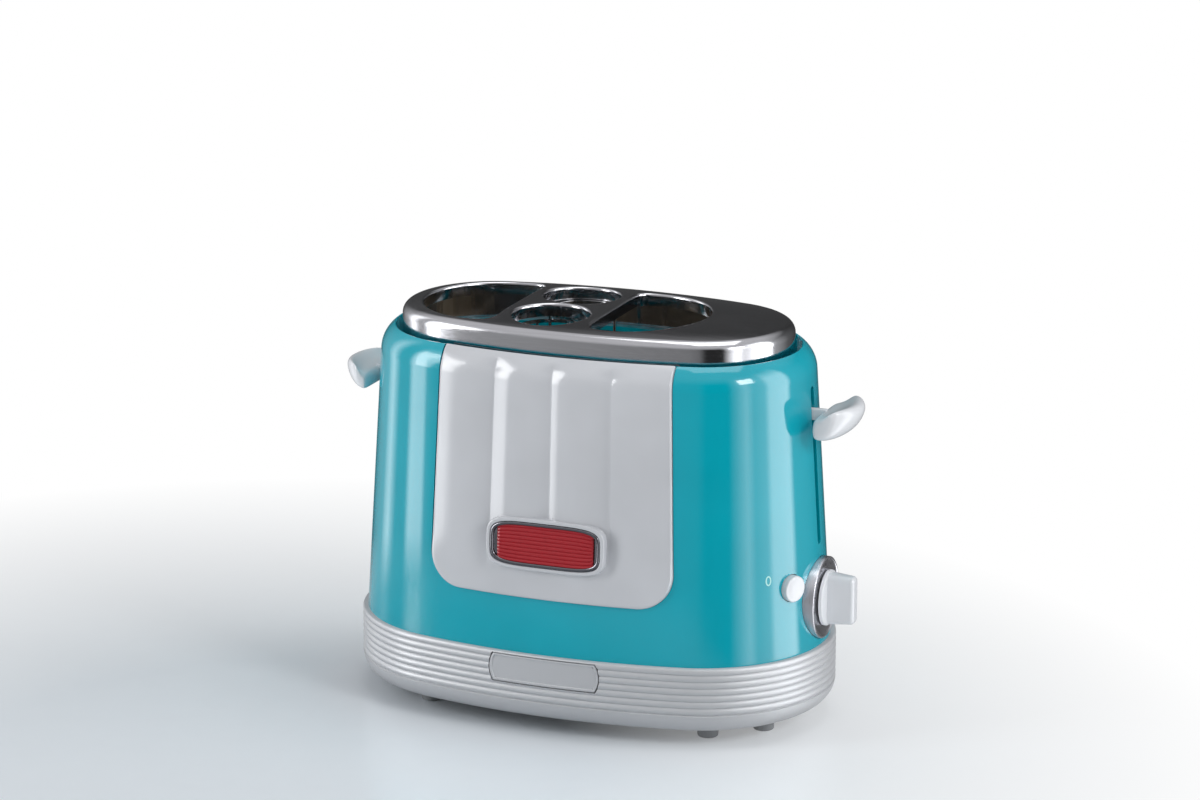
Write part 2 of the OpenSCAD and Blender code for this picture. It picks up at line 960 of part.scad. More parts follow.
module bun_carriage() {
  left_x0 = cook_x - bun_out + 5.5;
  left_x1 = cook_x - bun_in - 4.5;
  right_x0 = cook_x + bun_in + 4.5;
  right_x1 = cook_x + bun_out - 4.5;
  color(steel) {
    for (side = [-1, 1]) {
      translate([0, side * rail_y, 0])
        block(left_x0 - 1, plate_x, -rail_t / 2, rail_t / 2, shelf_z, shelf_z + rail_h);
      block(left_x0, left_x1, side > 0 ? split_y : -rail_y, side > 0 ? rail_y : -split_y,
            shelf_z, shelf_z + shelf_thick);
    }
    block(right_x0, right_x1, -rail_y, rail_y, shelf_z, shelf_z + shelf_thick);
    block(plate_x, plate_x + riser_t, -rail_y - rail_t / 2, rail_y + rail_t / 2,
          shelf_z, shelf_z + rail_h + 2);
    block(plate_x, plate_x + riser_t, -9, 9, shelf_z, slider_z + slider_h);
  }
}

module slider(x, length, width, rod_y) {
  difference() {
    block(x - length / 2, x + length / 2, -width / 2, width / 2, slider_z, slider_z + slider_h);
    for (side = [-1, 1])
      translate([x, side * rod_y, slider_z - 1])
        cylinder(h = slider_h + 2, r = rod_d / 2 + run);
  }
}

module guide_rods(x, rod_y) {
  for (side = [-1, 1])
    translate([x, side * rod_y, deck_top])
      cylinder(h = rod_top - deck_top, r = rod_d / 2);
}

// Lift springs, drawn as the sleeve that their coils fill.
module springs(x, rod_y) {
  for (side = [-1, 1])
    translate([x, side * rod_y, deck_top])
      difference() {
        cylinder(h = slider_z - deck_top, r = spring_r + spring_wire / 2);
        translate([0, 0, -1])
          cylinder(h = slider_z, r = spring_r - spring_wire / 2);
      }
}

module bun_slider() {
  color("gray")
    slider(bun_rod_x, bun_slider_l, 36, bun_rod_y);
}

module bun_guide_rods() {
  color("silver") guide_rods(bun_rod_x, bun_rod_y);
}

module bun_springs() {
  color("silver") springs(bun_rod_x, bun_rod_y);
}

// Steel strap over the tops of the rods, fixed to the chamber's end plate.
module rod_bridge(x0, x1, rod_x, rod_y) {
  difference() {
    block(x0, x1, -rod_y - 6, rod_y + 6, chamber_z - bridge_t, chamber_z);
    for (side = [-1, 1])
      translate([rod_x, side * rod_y, chamber_z - 2 * bridge_t])
        cylinder(h = 4 * bridge_t, r = rod_d / 2 + run);
  }
}

module bun_rod_bridge() {
  color(steel)
    rod_bridge(right_x + tin, bun_rod_x + 6, bun_rod_x, bun_rod_y);
}

// A stem through the slot and a scooped paddle outside it, for the right end.
module lever(slider_x) {
  block(slider_x, paddle_x + 3, -stem_w / 2, stem_w / 2, lever_z - stem_h / 2, lever_z + stem_h / 2);
  translate([0, 0, lever_z])
    intersection() {
      rotate([90, 0, 0])
        linear_extrude(height = paddle_w, center = true)
          paddle_side();
      translate([0, 0, -30])
        linear_extrude(height = 60)
          paddle_plan();
    }
}

// Side view of the paddle: it sweeps up to its tip.
module paddle_side() {
  polygon([[paddle_x, -9.5], [paddle_x + 9.5, -10], [paddle_x + 18, -6.5], [paddle_tip - 1.2, 0.5],
           [paddle_tip, 4.5], [paddle_tip - 1, 6], [paddle_tip - 4, 5.6], [paddle_x + 13, 3],
           [paddle_x + 6, 0.6], [paddle_x, -0.5]]);
}

// The paddle seen from above: straight towards the shell, round outside.
module paddle_plan() {
  r = paddle_w / 2;
  intersection() {
    translate([paddle_x, -r])
      square([paddle_tip - paddle_x, 2 * r]);
    union() {
      translate([paddle_tip - paddle_r, 0])
        circle(r = paddle_r);
      translate([paddle_x - 1, -r])
        square([paddle_in, 2 * r]);
    }
  }
}

module bun_lever() {
  color(white) lever(bun_rod_x + bun_slider_l / 2);
}

// ---- Sausage lift ----

module cup(y) {
  translate([cook_x, y, shelf_z])
    difference() {
      cylinder(h = cup_h, r = cup_r);
      translate([0, 0, shelf_thick])
        cylinder(h = cup_h, r = cup_r - 1);
    }
}

module sausage_carriage() {
  slider_face = sausage_rod_x + sausage_slider_l / 2;
  color(steel) {
    for (side = [-1, 1])
      cup(side * sausage_pitch / 2);
    block(cook_x - arm_t / 2, cook_x + arm_t / 2, -sausage_pitch / 2, sausage_pitch / 2,
          shelf_z, shelf_z + shelf_thick);
    block(slider_face, cook_x, -arm_t / 2, arm_t / 2, shelf_z, shelf_z + rail_h);
    block(slider_face, slider_face + riser_t / 2, -4, 4, shelf_z, slider_z + slider_h);
  }
}

module sausage_slider() {
  color("gray")
    slider(sausage_rod_x, sausage_slider_l, 32, sausage_rod_y);
}

module sausage_lever() {
  color(white)
    mirror([1, 0, 0])
      lever(sausage_slider_l / 2 - sausage_rod_x);
}

module sausage_guide_rods() {
  color("silver") guide_rods(sausage_rod_x, sausage_rod_y);
}

module sausage_springs() {
  color("silver") springs(sausage_rod_x, sausage_rod_y);
}

module sausage_rod_bridge() {
  color(steel)
    rod_bridge(sausage_rod_x - 6, left_x, sausage_rod_x, sausage_rod_y);
}

// ---- Controls ----

// Steel keeper under the bun slider; the magnet holds it when the lever is down.
module armature() {
  color("dimgray")
    block(magnet_x, bun_rod_x + bun_slider_l / 2, -6, 6, magnet_top + clear + lever_down, slider_z);
}

module electromagnet() {
  color("firebrick")
    block(magnet_x, board_x, -7, 7, deck_top, magnet_top);
}

module circuit_board() {
  color("darkgreen")
    block(board_x, board_x + board_t, -32, 32, deck_top, board_top);
}

// Turns a drawing so that its z axis runs out along the dial's axis.
module along_dial() {
  translate([0, 0, dial_z])
    rotate([0, 90, 0])
      rotate([0, 0, 30])
        children();
}

module timer() {
  body_x = board_x + board_t;
  color("lightgray")
    difference() {
      union() {
        block(body_x, body_x + timer_l, -timer_s / 2, timer_s / 2,
              dial_z - timer_s / 2, dial_z + timer_s / 2);
        along_dial()
          translate([0, 0, body_x])
            cylinder(h = dial_x - dial_face - body_x, r = bushing_r);
      }
      along_dial()
        translate([0, 0, body_x + 2])
          cylinder(h = 60, r = shaft_d / 2 + run);
    }
}

module timer_shaft() {
  x = board_x + board_t + 2.3;
  color("silver")
    along_dial()
      translate([0, 0, x])
        cylinder(h = knob_tip - 7 - x, r = shaft_d / 2);
}

module dial_plate() {
  color(silver)
    along_dial()
      difference() {
        translate([0, 0, dial_x - dial_deep])
          cylinder(h = dial_deep, r = dial_d / 2);
        translate([0, 0, dial_x - dial_deep - 1])
          cylinder(h = dial_deep + 1 - dial_face, r = dial_d / 2 - 1.5);
        translate([0, 0, dial_x - 5])
          cylinder(h = 10, r = shaft_d / 2 + clear);
      }
}

// Bar grip on a round skirt; the bar narrows towards its outer end.
module timer_knob() {
  color(white)
    difference() {
      union() {
        along_dial()
          translate([0, 0, dial_x + clear])
            cylinder(h = 1.6, r = knob_d / 2);
        intersection() {
          translate([0, 0, dial_z - 30])
            linear_extrude(height = 60)
              polygon([[dial_x + clear, -6], [knob_tip - 1, -grip_t / 2], [knob_tip, 1 - grip_t / 2],
                       [knob_tip, grip_t / 2 - 1], [knob_tip - 1, grip_t / 2], [dial_x + clear, 6]]);
          along_dial()
            translate([0, 0, dial_x + clear])
              cylinder(h = knob_tip - dial_x, r1 = knob_d / 2 - 0.5, r2 = knob_d / 2 - 1.5);
        }
      }
      along_dial()
        translate([0, 0, dial_x - 1])
          cylinder(h = knob_tip - dial_x - 5.7, r = shaft_d / 2 + run);
    }
}

// Turns a drawing so that its z axis runs out along the stop button's axis.
module along_button() {
  translate([end_c, 0, button_z])
    rotate([0, 90, button_turn - 90])
      children();
}

module stop_button() {
  color(white)
    along_button() {
      translate([0, 0, button_r - 5.3])
        cylinder(h = 8.3, r = button_d / 2);
      translate([0, 0, button_r - 5.5])
        cylinder(h = 1.3, r = button_d / 2 + 1.5);
      translate([0, 0, switch_r - 6])
        cylinder(h = button_r - 5.4 - switch_r + 6, r = 2.5);
    }
}

module stop_switch() {
  color("dimgray")
    intersection() {
      along_button()
        difference() {
          translate([-6, -4.5, 20])
            cube([12, 9, switch_r - 20]);
          translate([0, 0, switch_r - 6 - button_travel - clear])
            cylinder(h = 20, r = 2.5 + run);
        }
      block(board_x + board_t, half_l, -half_w, half_w, 0, top_z);
    }
}

module terminal_block() {
  color("ivory")
    difference() {
      block(77, 93, -2, 24, plate_top, plate_top + 12);
      for (i = [0 : 2])
        translate([70, 2.6 + 8.4 * i, plate_top + 5])
          rotate([0, 90, 0])
            cylinder(h = 30, r = 2);
    }
}

// Turns a drawing so that its z axis runs out through the back of the base's right end.
module gland_place() {
  translate([end_c, 0, gland_z])
    rotate([0, 90, gland_turn])
      children();
}

// Plain gland for a mains cord.
module cord_gland() {
  wall_r = end_r + base_out;
  color("dimgray")
    gland_place()
      difference() {
        union() {
          translate([0, 0, wall_r - 9])
            cylinder(h = 12, r = gland_r);
          translate([0, 0, wall_r + tiny])
            cylinder(h = 2, r = gland_r + 2);
          translate([0, 0, wall_r - 8])
            cylinder(h = 7 - rib_out - base_wall, r = gland_r + 2, $fn = 6);
        }
        translate([0, 0, wall_r - 20])
          cylinder(h = 40, r = cord_d / 2);
      }
}

outer_shell();
front_panel();
badge_bezel();
badge_plate();
base_skirt();
name_plate();
bottom_plate();
feet();
base_screws();
posts();
deck_plate();
crumb_tray();
tray_runners();
steel_top();
left_end_plate();
right_end_plate();
front_heat_shield();
rear_heat_shield();
mica_cards();
heater_wires();
bun_guards();
sausage_guides();
bun_carriage();
bun_slider();
bun_lever();
bun_guide_rods();
bun_springs();
bun_rod_bridge();
sausage_carriage();
sausage_slider();
sausage_lever();
sausage_guide_rods();
sausage_springs();
sausage_rod_bridge();
armature();
electromagnet();
circuit_board();
timer();
timer_shaft();
timer_knob();
dial_plate();
stop_button();
stop_switch();
terminal_block();
cord_gland();
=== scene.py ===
"""A hot dog toaster with a fluted front panel, two lift levers, a timer dial and a stop button.

Every size in the classes below is in millimetres. Meshes are made in metres, in the
frame's own axes: +X points to the end with the dial, -Y to the fluted panel and +Z up.
"""

import json
import logging
from abc import ABC, abstractmethod
from dataclasses import dataclass, field
from enum import Enum
from functools import cache
from math import acos, asin, atan2, cos, hypot, pi, radians, sin, sqrt, tan
from typing import Callable, Sequence

import bmesh
import bpy
from mathutils import Matrix, Vector

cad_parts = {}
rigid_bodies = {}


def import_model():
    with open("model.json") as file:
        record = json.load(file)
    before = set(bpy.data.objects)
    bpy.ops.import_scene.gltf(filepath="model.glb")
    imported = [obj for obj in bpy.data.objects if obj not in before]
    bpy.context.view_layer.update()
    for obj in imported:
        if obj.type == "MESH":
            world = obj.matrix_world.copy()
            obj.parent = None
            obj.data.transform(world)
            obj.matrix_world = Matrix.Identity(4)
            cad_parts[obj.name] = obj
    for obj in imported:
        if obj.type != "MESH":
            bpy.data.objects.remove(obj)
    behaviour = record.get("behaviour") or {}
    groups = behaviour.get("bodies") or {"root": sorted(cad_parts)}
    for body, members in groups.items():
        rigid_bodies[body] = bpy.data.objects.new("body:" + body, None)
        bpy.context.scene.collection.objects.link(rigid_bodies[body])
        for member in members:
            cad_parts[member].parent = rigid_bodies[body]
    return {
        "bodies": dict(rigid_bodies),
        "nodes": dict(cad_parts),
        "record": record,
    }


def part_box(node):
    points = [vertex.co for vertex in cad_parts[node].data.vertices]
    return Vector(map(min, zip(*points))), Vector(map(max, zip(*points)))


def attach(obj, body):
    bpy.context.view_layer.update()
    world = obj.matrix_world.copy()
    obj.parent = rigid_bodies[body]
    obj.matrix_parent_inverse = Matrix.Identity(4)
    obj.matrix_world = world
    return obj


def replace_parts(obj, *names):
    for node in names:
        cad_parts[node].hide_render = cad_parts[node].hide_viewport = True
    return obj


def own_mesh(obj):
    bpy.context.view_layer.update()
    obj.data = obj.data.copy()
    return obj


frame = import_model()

log = logging.getLogger("toaster")

MM = 0.001
SMOOTH_ANGLE = radians(32)

Point = tuple[float, float]
Colour = tuple[float, float, float]
Piece = bpy.types.Object
Node = bpy.types.Node
Place = Callable[[float, float], Vector]
Outline = Callable[[float], list[Point]]
Test = Callable[[Vector, Vector], bool]


# ---- Bench work: small helpers around Blender's own operators ----


def put_down() -> None:
    """Leave edit mode and deselect everything."""
    if bpy.context.object is not None and bpy.context.object.mode != "OBJECT":
        bpy.ops.object.mode_set(mode="OBJECT")
    for other in bpy.context.view_layer.objects.selected[:]:
        other.select_set(False)


def pick(piece: Piece, *others: Piece) -> Piece:
    """Select only these objects and make the first one active.

    Args:
        piece: The object that becomes active.
        others: Further objects to select with it.

    Returns:
        The active object.
    """
    put_down()
    for other in (piece, *others):
        other.select_set(True)
    bpy.context.view_layer.objects.active = piece
    return piece


def named(name: str) -> Piece:
    """Give the active object and its mesh a name, and return it.

    Args:
        name: The name.

    Returns:
        The active object.
    """
    piece = bpy.context.object
    piece.name = name
    piece.data.name = name
    return piece


def settle(piece: Piece) -> Piece:
    """Move an object's place and turn into its mesh, so that it sits at the origin.

    Args:
        piece: The object to change.

    Returns:
        The same object.
    """
    pick(piece)
    bpy.ops.object.transform_apply(location=True, rotation=True, scale=True)
    return piece


class Bench:
    """Edit-mode work on one object, with faces and edges picked by their place."""

    def __init__(self, piece: Piece) -> None:
        """Keep the object to work on."""
        self.piece = piece

    def __enter__(self) -> "Bench":
        """Enter edit mode with nothing selected.

        Returns:
            This bench.
        """
        pick(self.piece)
        bpy.ops.object.mode_set(mode="EDIT")
        bpy.ops.mesh.select_all(action="DESELECT")
        return self

    def __exit__(self, *problem: object) -> None:
        """Leave edit mode."""
        bpy.ops.object.mode_set(mode="OBJECT")

    def faces(self, wanted: Test) -> "Bench":
        """Select the faces that a test of centre and normal accepts.

        Args:
            wanted: Takes a face's centre in metres and its normal.

        Returns:
            This bench, so that calls can follow each other.
        """
        bpy.ops.mesh.select_mode(type="FACE")
        sheet = bmesh.from_edit_mesh(self.piece.data)
        for face in sheet.faces:
            face.select_set(wanted(face.calc_center_median(), face.normal))
        bmesh.update_edit_mesh(self.piece.data)
        return self

    def edges(self, wanted: Test) -> "Bench":
        """Select the edges whose two ends a test accepts.

        Args:
            wanted: Takes the two ends of an edge, in metres.

        Returns:
            This bench.
        """
        bpy.ops.mesh.select_mode(type="EDGE")
        sheet = bmesh.from_edit_mesh(self.piece.data)
        for edge in sheet.edges:
            edge.select_set(wanted(edge.verts[0].co, edge.verts[1].co))
        bmesh.update_edit_mesh(self.piece.data)
        return self

    def all(self) -> "Bench":
        """Select the whole mesh."""
        bpy.ops.mesh.select_all(action="SELECT")
        return self

    def extrude(self, move: Vector) -> "Bench":
        """Extrude what is selected by a move in metres."""
        bpy.ops.mesh.extrude_region_move(TRANSFORM_OT_translate={"value": tuple(move)})
        return self

    def inset(self, thickness: float, depth: float = 0.0) -> "Bench":
        """Inset the selected faces by millimetres, and move them along their normals by depth."""
        bpy.ops.mesh.inset(thickness=thickness * MM, depth=depth * MM)
        return self

    def bevel(self, width: float, segments: int = 3) -> "Bench":
        """Round the selected edges over a width in millimetres."""
        bpy.ops.mesh.bevel(offset=width * MM, segments=segments, profile=0.5, affect="EDGES")
        return self

    def scale(self, factors: Vector, about: Vector) -> "Bench":
        """Scale what is selected about a point."""
        bpy.ops.transform.resize(value=tuple(factors), center_override=tuple(about))
        return self

    def merge(self, reach: float = 0.001) -> "Bench":
        """Merge vertices closer than a reach in millimetres, over the whole mesh.

        Args:
            reach: Distance in millimetres.

        Returns:
            This bench.
        """
        bpy.ops.mesh.select_all(action="SELECT")
        bpy.ops.mesh.remove_doubles(threshold=reach * MM)
        return self

    def close(self, wanted: Test) -> "Bench":
        """Fill one ring of edges with a face, and leave that face selected.

        Args:
            wanted: Takes the two ends of an edge, in metres.

        Returns:
            This bench.
        """
        self.edges(wanted)
        bpy.ops.mesh.edge_face_add()
        bpy.ops.mesh.select_mode(type="FACE")
        return self

    def outward(self) -> "Bench":
        """Turn all faces outwards.

        Returns:
            This bench.
        """
        bpy.ops.mesh.select_all(action="SELECT")
        bpy.ops.mesh.normals_make_consistent(inside=False)
        return self


def grid(name: str, across: int, along: int, place: Place) -> Piece:
    """Add a grid and lay it over a surface.

    Args:
        name: Name of the new object.
        across: Number of faces in the first direction.
        along: Number of faces in the second direction.
        place: Takes two shares from 0 to 1 and gives a point in millimetres.

    Returns:
        The new object.
    """
    put_down()
    bpy.ops.mesh.primitive_grid_add(x_subdivisions=across, y_subdivisions=along, size=2)
    piece = named(name)
    for vertex in piece.data.vertices:
        vertex.co = place((vertex.co.x + 1) / 2, (vertex.co.y + 1) / 2) * MM
    return piece


def closed_grid(
    name: str, across: int, along: int, place: Place, reach: float = 0.001
) -> Piece:
    """Add a grid, merge where its edges meet and turn it outwards.

    Args:
        name: Name of the new object.
        across: Number of faces in the first direction.
        along: Number of faces in the second direction.
        place: Takes two shares from 0 to 1 and gives a point in millimetres.
        reach: Vertices closer than this many millimetres are merged.

    Returns:
        The new object.
    """
    piece = grid(name, across, along, place)
    with Bench(piece) as bench:
        bench.merge(reach).outward()
    return piece


def modify(piece: Piece, kind: str, **settings: object) -> Piece:
    """Add a modifier, set it and apply it.

    Args:
        piece: The object to change.
        kind: The modifier's type.
        settings: Values for the modifier's own fields.

    Returns:
        The same object.
    """
    pick(piece)
    modifier = piece.modifiers.new(kind.title(), kind)
    for key, value in settings.items():
        setattr(modifier, key, value)
    bpy.ops.object.modifier_apply(modifier=modifier.name)
    return piece


def cut(piece: Piece, tool: Piece, operation: str = "DIFFERENCE") -> Piece:
    """Cut one closed mesh with another, and remove the tool.

    Args:
        piece: The mesh that stays.
        tool: The closed mesh that is used and then removed.
        operation: DIFFERENCE, INTERSECT or UNION.

    Returns:
        The piece.
    """
    modify(piece, "BOOLEAN", object=tool, operation=operation, solver="EXACT")
    bpy.data.objects.remove(tool)
    return piece


def join(name: str, parts: Sequence[Piece]) -> Piece:
    """Join several meshes into one named object.

    Args:
        name: Name of the new object.
        parts: The meshes to join.

    Returns:
        The joined object.
    """
    pick(*parts)
    bpy.ops.object.join()
    return named(name)


def smooth(piece: Piece, angle: float = SMOOTH_ANGLE) -> Piece:
    """Shade smooth across edges below an angle.

    Args:
        piece: The object to change.
        angle: Widest angle that is shaded smooth, in radians.

    Returns:
        The same object.
    """
    pick(piece)
    bpy.ops.object.shade_smooth_by_angle(angle=angle)
    return piece


def rod(name: str, start: Vector, end: Vector, radius: float, sides: int = 48) -> Piece:
    """Add a closed cylinder between two points.

    Args:
        name: Name of the new object.
        start: Centre of one end, in millimetres.
        end: Centre of the other end, in millimetres.
        radius: Radius in millimetres.
        sides: Number of side faces.

    Returns:
        The new object, with its place in its mesh.
    """
    put_down()
    axis = end - start
    bpy.ops.mesh.primitive_cylinder_add(
        vertices=sides,
        radius=radius * MM,
        depth=axis.length * MM,
        location=(start + end) / 2 * MM,
        rotation=axis.to_track_quat("Z", "Y").to_euler(),
    )
    return settle(named(name))


def bar(name: str, low: Vector, high: Vector) -> Piece:
    """Add a closed box between two corners in millimetres.

    Args:
        name: Name of the new object.
        low: The lowest corner.
        high: The highest corner.

    Returns:
        The new object.
    """
    put_down()
    bpy.ops.mesh.primitive_cube_add(size=1, location=(low + high) / 2 * MM, scale=(high - low) * MM)
    return settle(named(name))


def prism(name: str, outline: Sequence[Point], depth: float, turn: Matrix) -> Piece:
    """Extrude a flat outline.

    Args:
        name: Name of the new object.
        outline: Points of the outline in millimetres, in its own plane.
        depth: Height of the prism in millimetres.
        turn: Places the outline's plane and its normal in the frame, in metres.

    Returns:
        The new closed object.
    """
    put_down()
    bpy.ops.mesh.primitive_circle_add(vertices=len(outline), radius=1, fill_type="NGON")
    piece = named(name)
    for vertex, (x, y) in zip(piece.data.vertices, outline):
        vertex.co = Vector((x, y, 0)) * MM
    with Bench(piece) as bench:
        bench.all().extrude(Vector((0, 0, depth * MM))).outward()
    piece.data.transform(turn)
    return piece


def face_normals(piece: Piece, lie: Callable[[Vector], Vector | None]) -> Piece:
    """Give a cut surface the exact normals of the form that it was cut from.

    Args:
        piece: The finished mesh.
        lie: Takes a point in millimetres and gives the form's normal there, or None.

    Returns:
        The same object.
    """
    mesh = piece.data
    near = cos(radians(24))
    exact = [lie(vertex.co / MM) for vertex in mesh.vertices]
    corners: list[Vector] = [Vector((0, 0, 1))] * len(mesh.loops)
    for polygon in mesh.polygons:
        polygon.use_smooth = True
        for index in polygon.loop_indices:
            normal = exact[mesh.loops[index].vertex_index]
            fits = normal is not None and normal.dot(polygon.normal) > near
            corners[index] = normal if fits else polygon.normal.copy()
    mesh.normals_split_custom_set(corners)
    return piece


def arc(centre: Point, radius: float, start: float, end: float, steps: int) -> list[Point]:
    """Points along a circle, with angles in radians.

    Args:
        centre: Centre of the circle.
        radius: Its radius.
        start: Angle of the first point.
        end: Angle of the last point.
        steps: Number of steps between them.

    Returns:
        The points, both ends included.
    """
    angles = [start + (end - start) * i / steps for i in range(steps + 1)]
    return [(centre[0] + radius * cos(a), centre[1] + radius * sin(a)) for a in angles]


def line(start: Point, end: Point, steps: int) -> list[Point]:
    """Points along a straight line, without its end.

    Args:
        start: First point.
        end: Last point.
        steps: Number of steps between them.

    Returns:
        The points, without the last one.
    """
    return [
        (start[0] + (end[0] - start[0]) * i / steps, start[1] + (end[1] - start[1]) * i / steps)
        for i in range(steps)
    ]


def ease(value: float, low: float, high: float) -> float:
    """Rise smoothly from 0 at low to 1 at high."""
    share = min(max((value - low) / (high - low), 0.0), 1.0)
    return share * share * (3 - 2 * share)


# ---- The plan and the wall that every outer piece follows ----


@dataclass(frozen=True)
class Oval:
    """The shell's plan: two wide faces and two tight ends that meet smoothly."""

    length: float
    width: float
    face_r: float = 354
    face_steps: int = 48
    end_steps: int = 60

    @property
    def face_c(self) -> float:
        """Distance of a face's centre of curvature from the middle."""
        return self.face_r - self.width / 2

    @property
    def end_r(self) -> float:
        """Radius of each end."""
        half = self.length / 2
        return (self.face_r**2 - half**2 - self.face_c**2) / (2 * (self.face_r - half))

    @property
    def seam(self) -> float:
        """Angle from the front at which a face meets an end."""
        return acos(self.face_c / (self.face_r - self.end_r))

    @property
    def end_c(self) -> float:
        """Distance of each end's centre from the middle."""
        return (self.face_r - self.end_r) * sin(self.seam)

    def headings(self) -> list[float]:
        """Angles around the whole outline, from the front towards the right end, closed.

        Returns:
            The angles in radians.
        """
        seam = self.seam
        stops = [(-seam, seam, self.face_steps), (seam, pi - seam, self.end_steps)]
        stops += [(pi - seam, pi + seam, self.face_steps), (pi + seam, 2 * pi - seam, self.end_steps)]
        angles = [a + (b - a) * i / n for a, b, n in stops for i in range(n)]
        return angles + [2 * pi - seam]

    def centre(self, heading: float) -> tuple[float, float, float]:
        """The centre and radius of the arc that a heading lies on, at the outline.

        Args:
            heading: Angle around the plan, in radians.

        Returns:
            Place along the length, place from front to back, and radius.
        """
        turn = (heading + self.seam) % (2 * pi) - self.seam
        if turn <= self.seam:
            return 0.0, self.face_c, self.face_r
        if turn < pi - self.seam:
            return self.end_c, 0.0, self.end_r
        if turn <= pi + self.seam:
            return 0.0, -self.face_c, self.face_r
        return -self.end_c, 0.0, self.end_r

    def point(self, heading: float, out: float, height: float) -> Vector:
        """A point in millimetres at a heading, a distance out of the outline and a height."""
        x, y, radius = self.centre(heading)
        return Vector((x + (radius + out) * sin(heading), y - (radius + out) * cos(heading), height))

    def locate(self, x: float, y: float) -> tuple[float, float]:
        """The heading and the distance out of the outline of a point in plan.

        Args:
            x: Place along the length.
            y: Place from front to back.

        Returns:
            Heading in radians, and distance out of the outline.
        """
        turn = atan2(abs(x) - self.end_c, abs(y))
        if turn >= self.seam:
            out = hypot(abs(x) - self.end_c, y) - self.end_r
        else:
            turn = atan2(abs(x), abs(y) + self.face_c)
            out = hypot(x, abs(y) + self.face_c) - self.face_r
        across = turn if y <= 0 else pi - turn
        return (across if x >= 0 else -across), out

    def sweep(self, name: str, profile: Sequence[Point]) -> Piece:
        """Sweep a closed profile around the plan into a closed ring.

        Args:
            name: Name of the new object.
            profile: Points of distance out and height, the first one repeated last.

        Returns:
            The new object.
        """
        angles = self.headings()
        last_angle, last_point = len(angles) - 1, len(profile) - 1

        def place(u: float, v: float) -> Vector:
            """A point of the ring."""
            out, height = profile[round(v * last_point)]
            return self.point(angles[round(u * last_angle)], out, height)

        return closed_grid(name, last_angle, last_point, place, 0.002)


@dataclass(frozen=True)
class Wall:
    """Upright profile of the shell: a leaning wall, then a rounded shoulder up to the rim."""

    foot_z: float
    shoulder_z: float = 190.5
    shoulder_r: float = 17.5
    shoulder_turn: float = radians(51)
    draft: float = radians(3.6)
    rim_land: float = 0.8

    @property
    def turn(self) -> Point:
        """Centre of the shoulder, as distance out of the outline and height."""
        inward = tan(self.draft) * (self.shoulder_z - self.foot_z) + self.shoulder_r * cos(self.draft)
        return -inward, self.shoulder_z - self.shoulder_r * sin(self.draft)

    @property
    def rim_a(self) -> float:
        """Angle of the shoulder at the rim."""
        return self.draft + self.shoulder_turn

    @property
    def rim(self) -> Point:
        """The rim's edge, as distance out and height."""
        return self.on_shoulder(self.rim_a, 0)

    def on_wall(self, height: float, out: float) -> Point:
        """A point on the leaning wall, moved out along the wall's normal."""
        inward = tan(self.draft) * (height - self.foot_z)
        return out * cos(self.draft) - inward, height + out * sin(self.draft)

    def on_shoulder(self, angle: float, out: float) -> Point:
        """A point on the shoulder, moved out along its normal.

        Args:
            angle: The normal's angle above the level, in radians.
            out: Distance out of the outline, in millimetres.

        Returns:
            Distance out of the outline, and height.
        """
        x, z = self.turn
        radius = self.shoulder_r + out
        return x + radius * cos(angle), z + radius * sin(angle)

    def lean(self, out: float, height: float) -> float | None:
        """Angle of the outer face's normal above the level at a point, or None away from the face.

        Args:
            out: Distance out of the outline, in millimetres.
            height: Height in millimetres.

        Returns:
            The angle in radians, or None.
        """
        x, z = self.turn
        if height < self.shoulder_z:
            return self.draft
        angle = atan2(height - z, out - x)
        return angle if angle < self.rim_a + radians(1) else None

    def path(self, share: float, low: float) -> tuple[Point, float]:
        """Walk up the outer face.

        Args:
            share: From 0 at the lowest point to 1 at the rim.
            low: Height of the lowest point.

        Returns:
            The point, as distance out and height, and the normal's angle above the level.
        """
        straight = (self.shoulder_z - low) / cos(self.draft)
        curved = self.shoulder_r * self.shoulder_turn
        gone = share * (straight + curved)
        if gone < straight:
            return self.on_wall(low + gone * cos(self.draft), 0), self.draft
        angle = self.draft + (gone - straight) / self.shoulder_r
        return self.on_shoulder(angle, 0), angle


@cache
def slab(node: str) -> tuple[Vector, Vector]:
    """Lowest and highest corners of a frame node, in millimetres."""
    low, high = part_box(node)
    return low / MM, high / MM


SHELL_LOW, SHELL_HIGH = slab("outer_shell")
PLAN = Oval(length=SHELL_HIGH.x - SHELL_LOW.x, width=SHELL_HIGH.y - SHELL_LOW.y)
WALL = Wall(foot_z=SHELL_LOW.z)


def swept_normal(point: Vector, lean: Callable[[float, float], float | None]) -> Vector | None:
    """Normal of a form swept around the plan.

    Args:
        point: A point in millimetres.
        lean: Takes distance out and height, and gives the normal's angle above the level.

    Returns:
        The normal, or None where the form has none.
    """
    heading, out = PLAN.locate(point.x, point.y)
    angle = lean(out, point.z)
    if angle is None:
        return None
    return Vector((sin(heading) * cos(angle), -cos(heading) * cos(angle), sin(angle)))


# ---- Shared shader groups ----


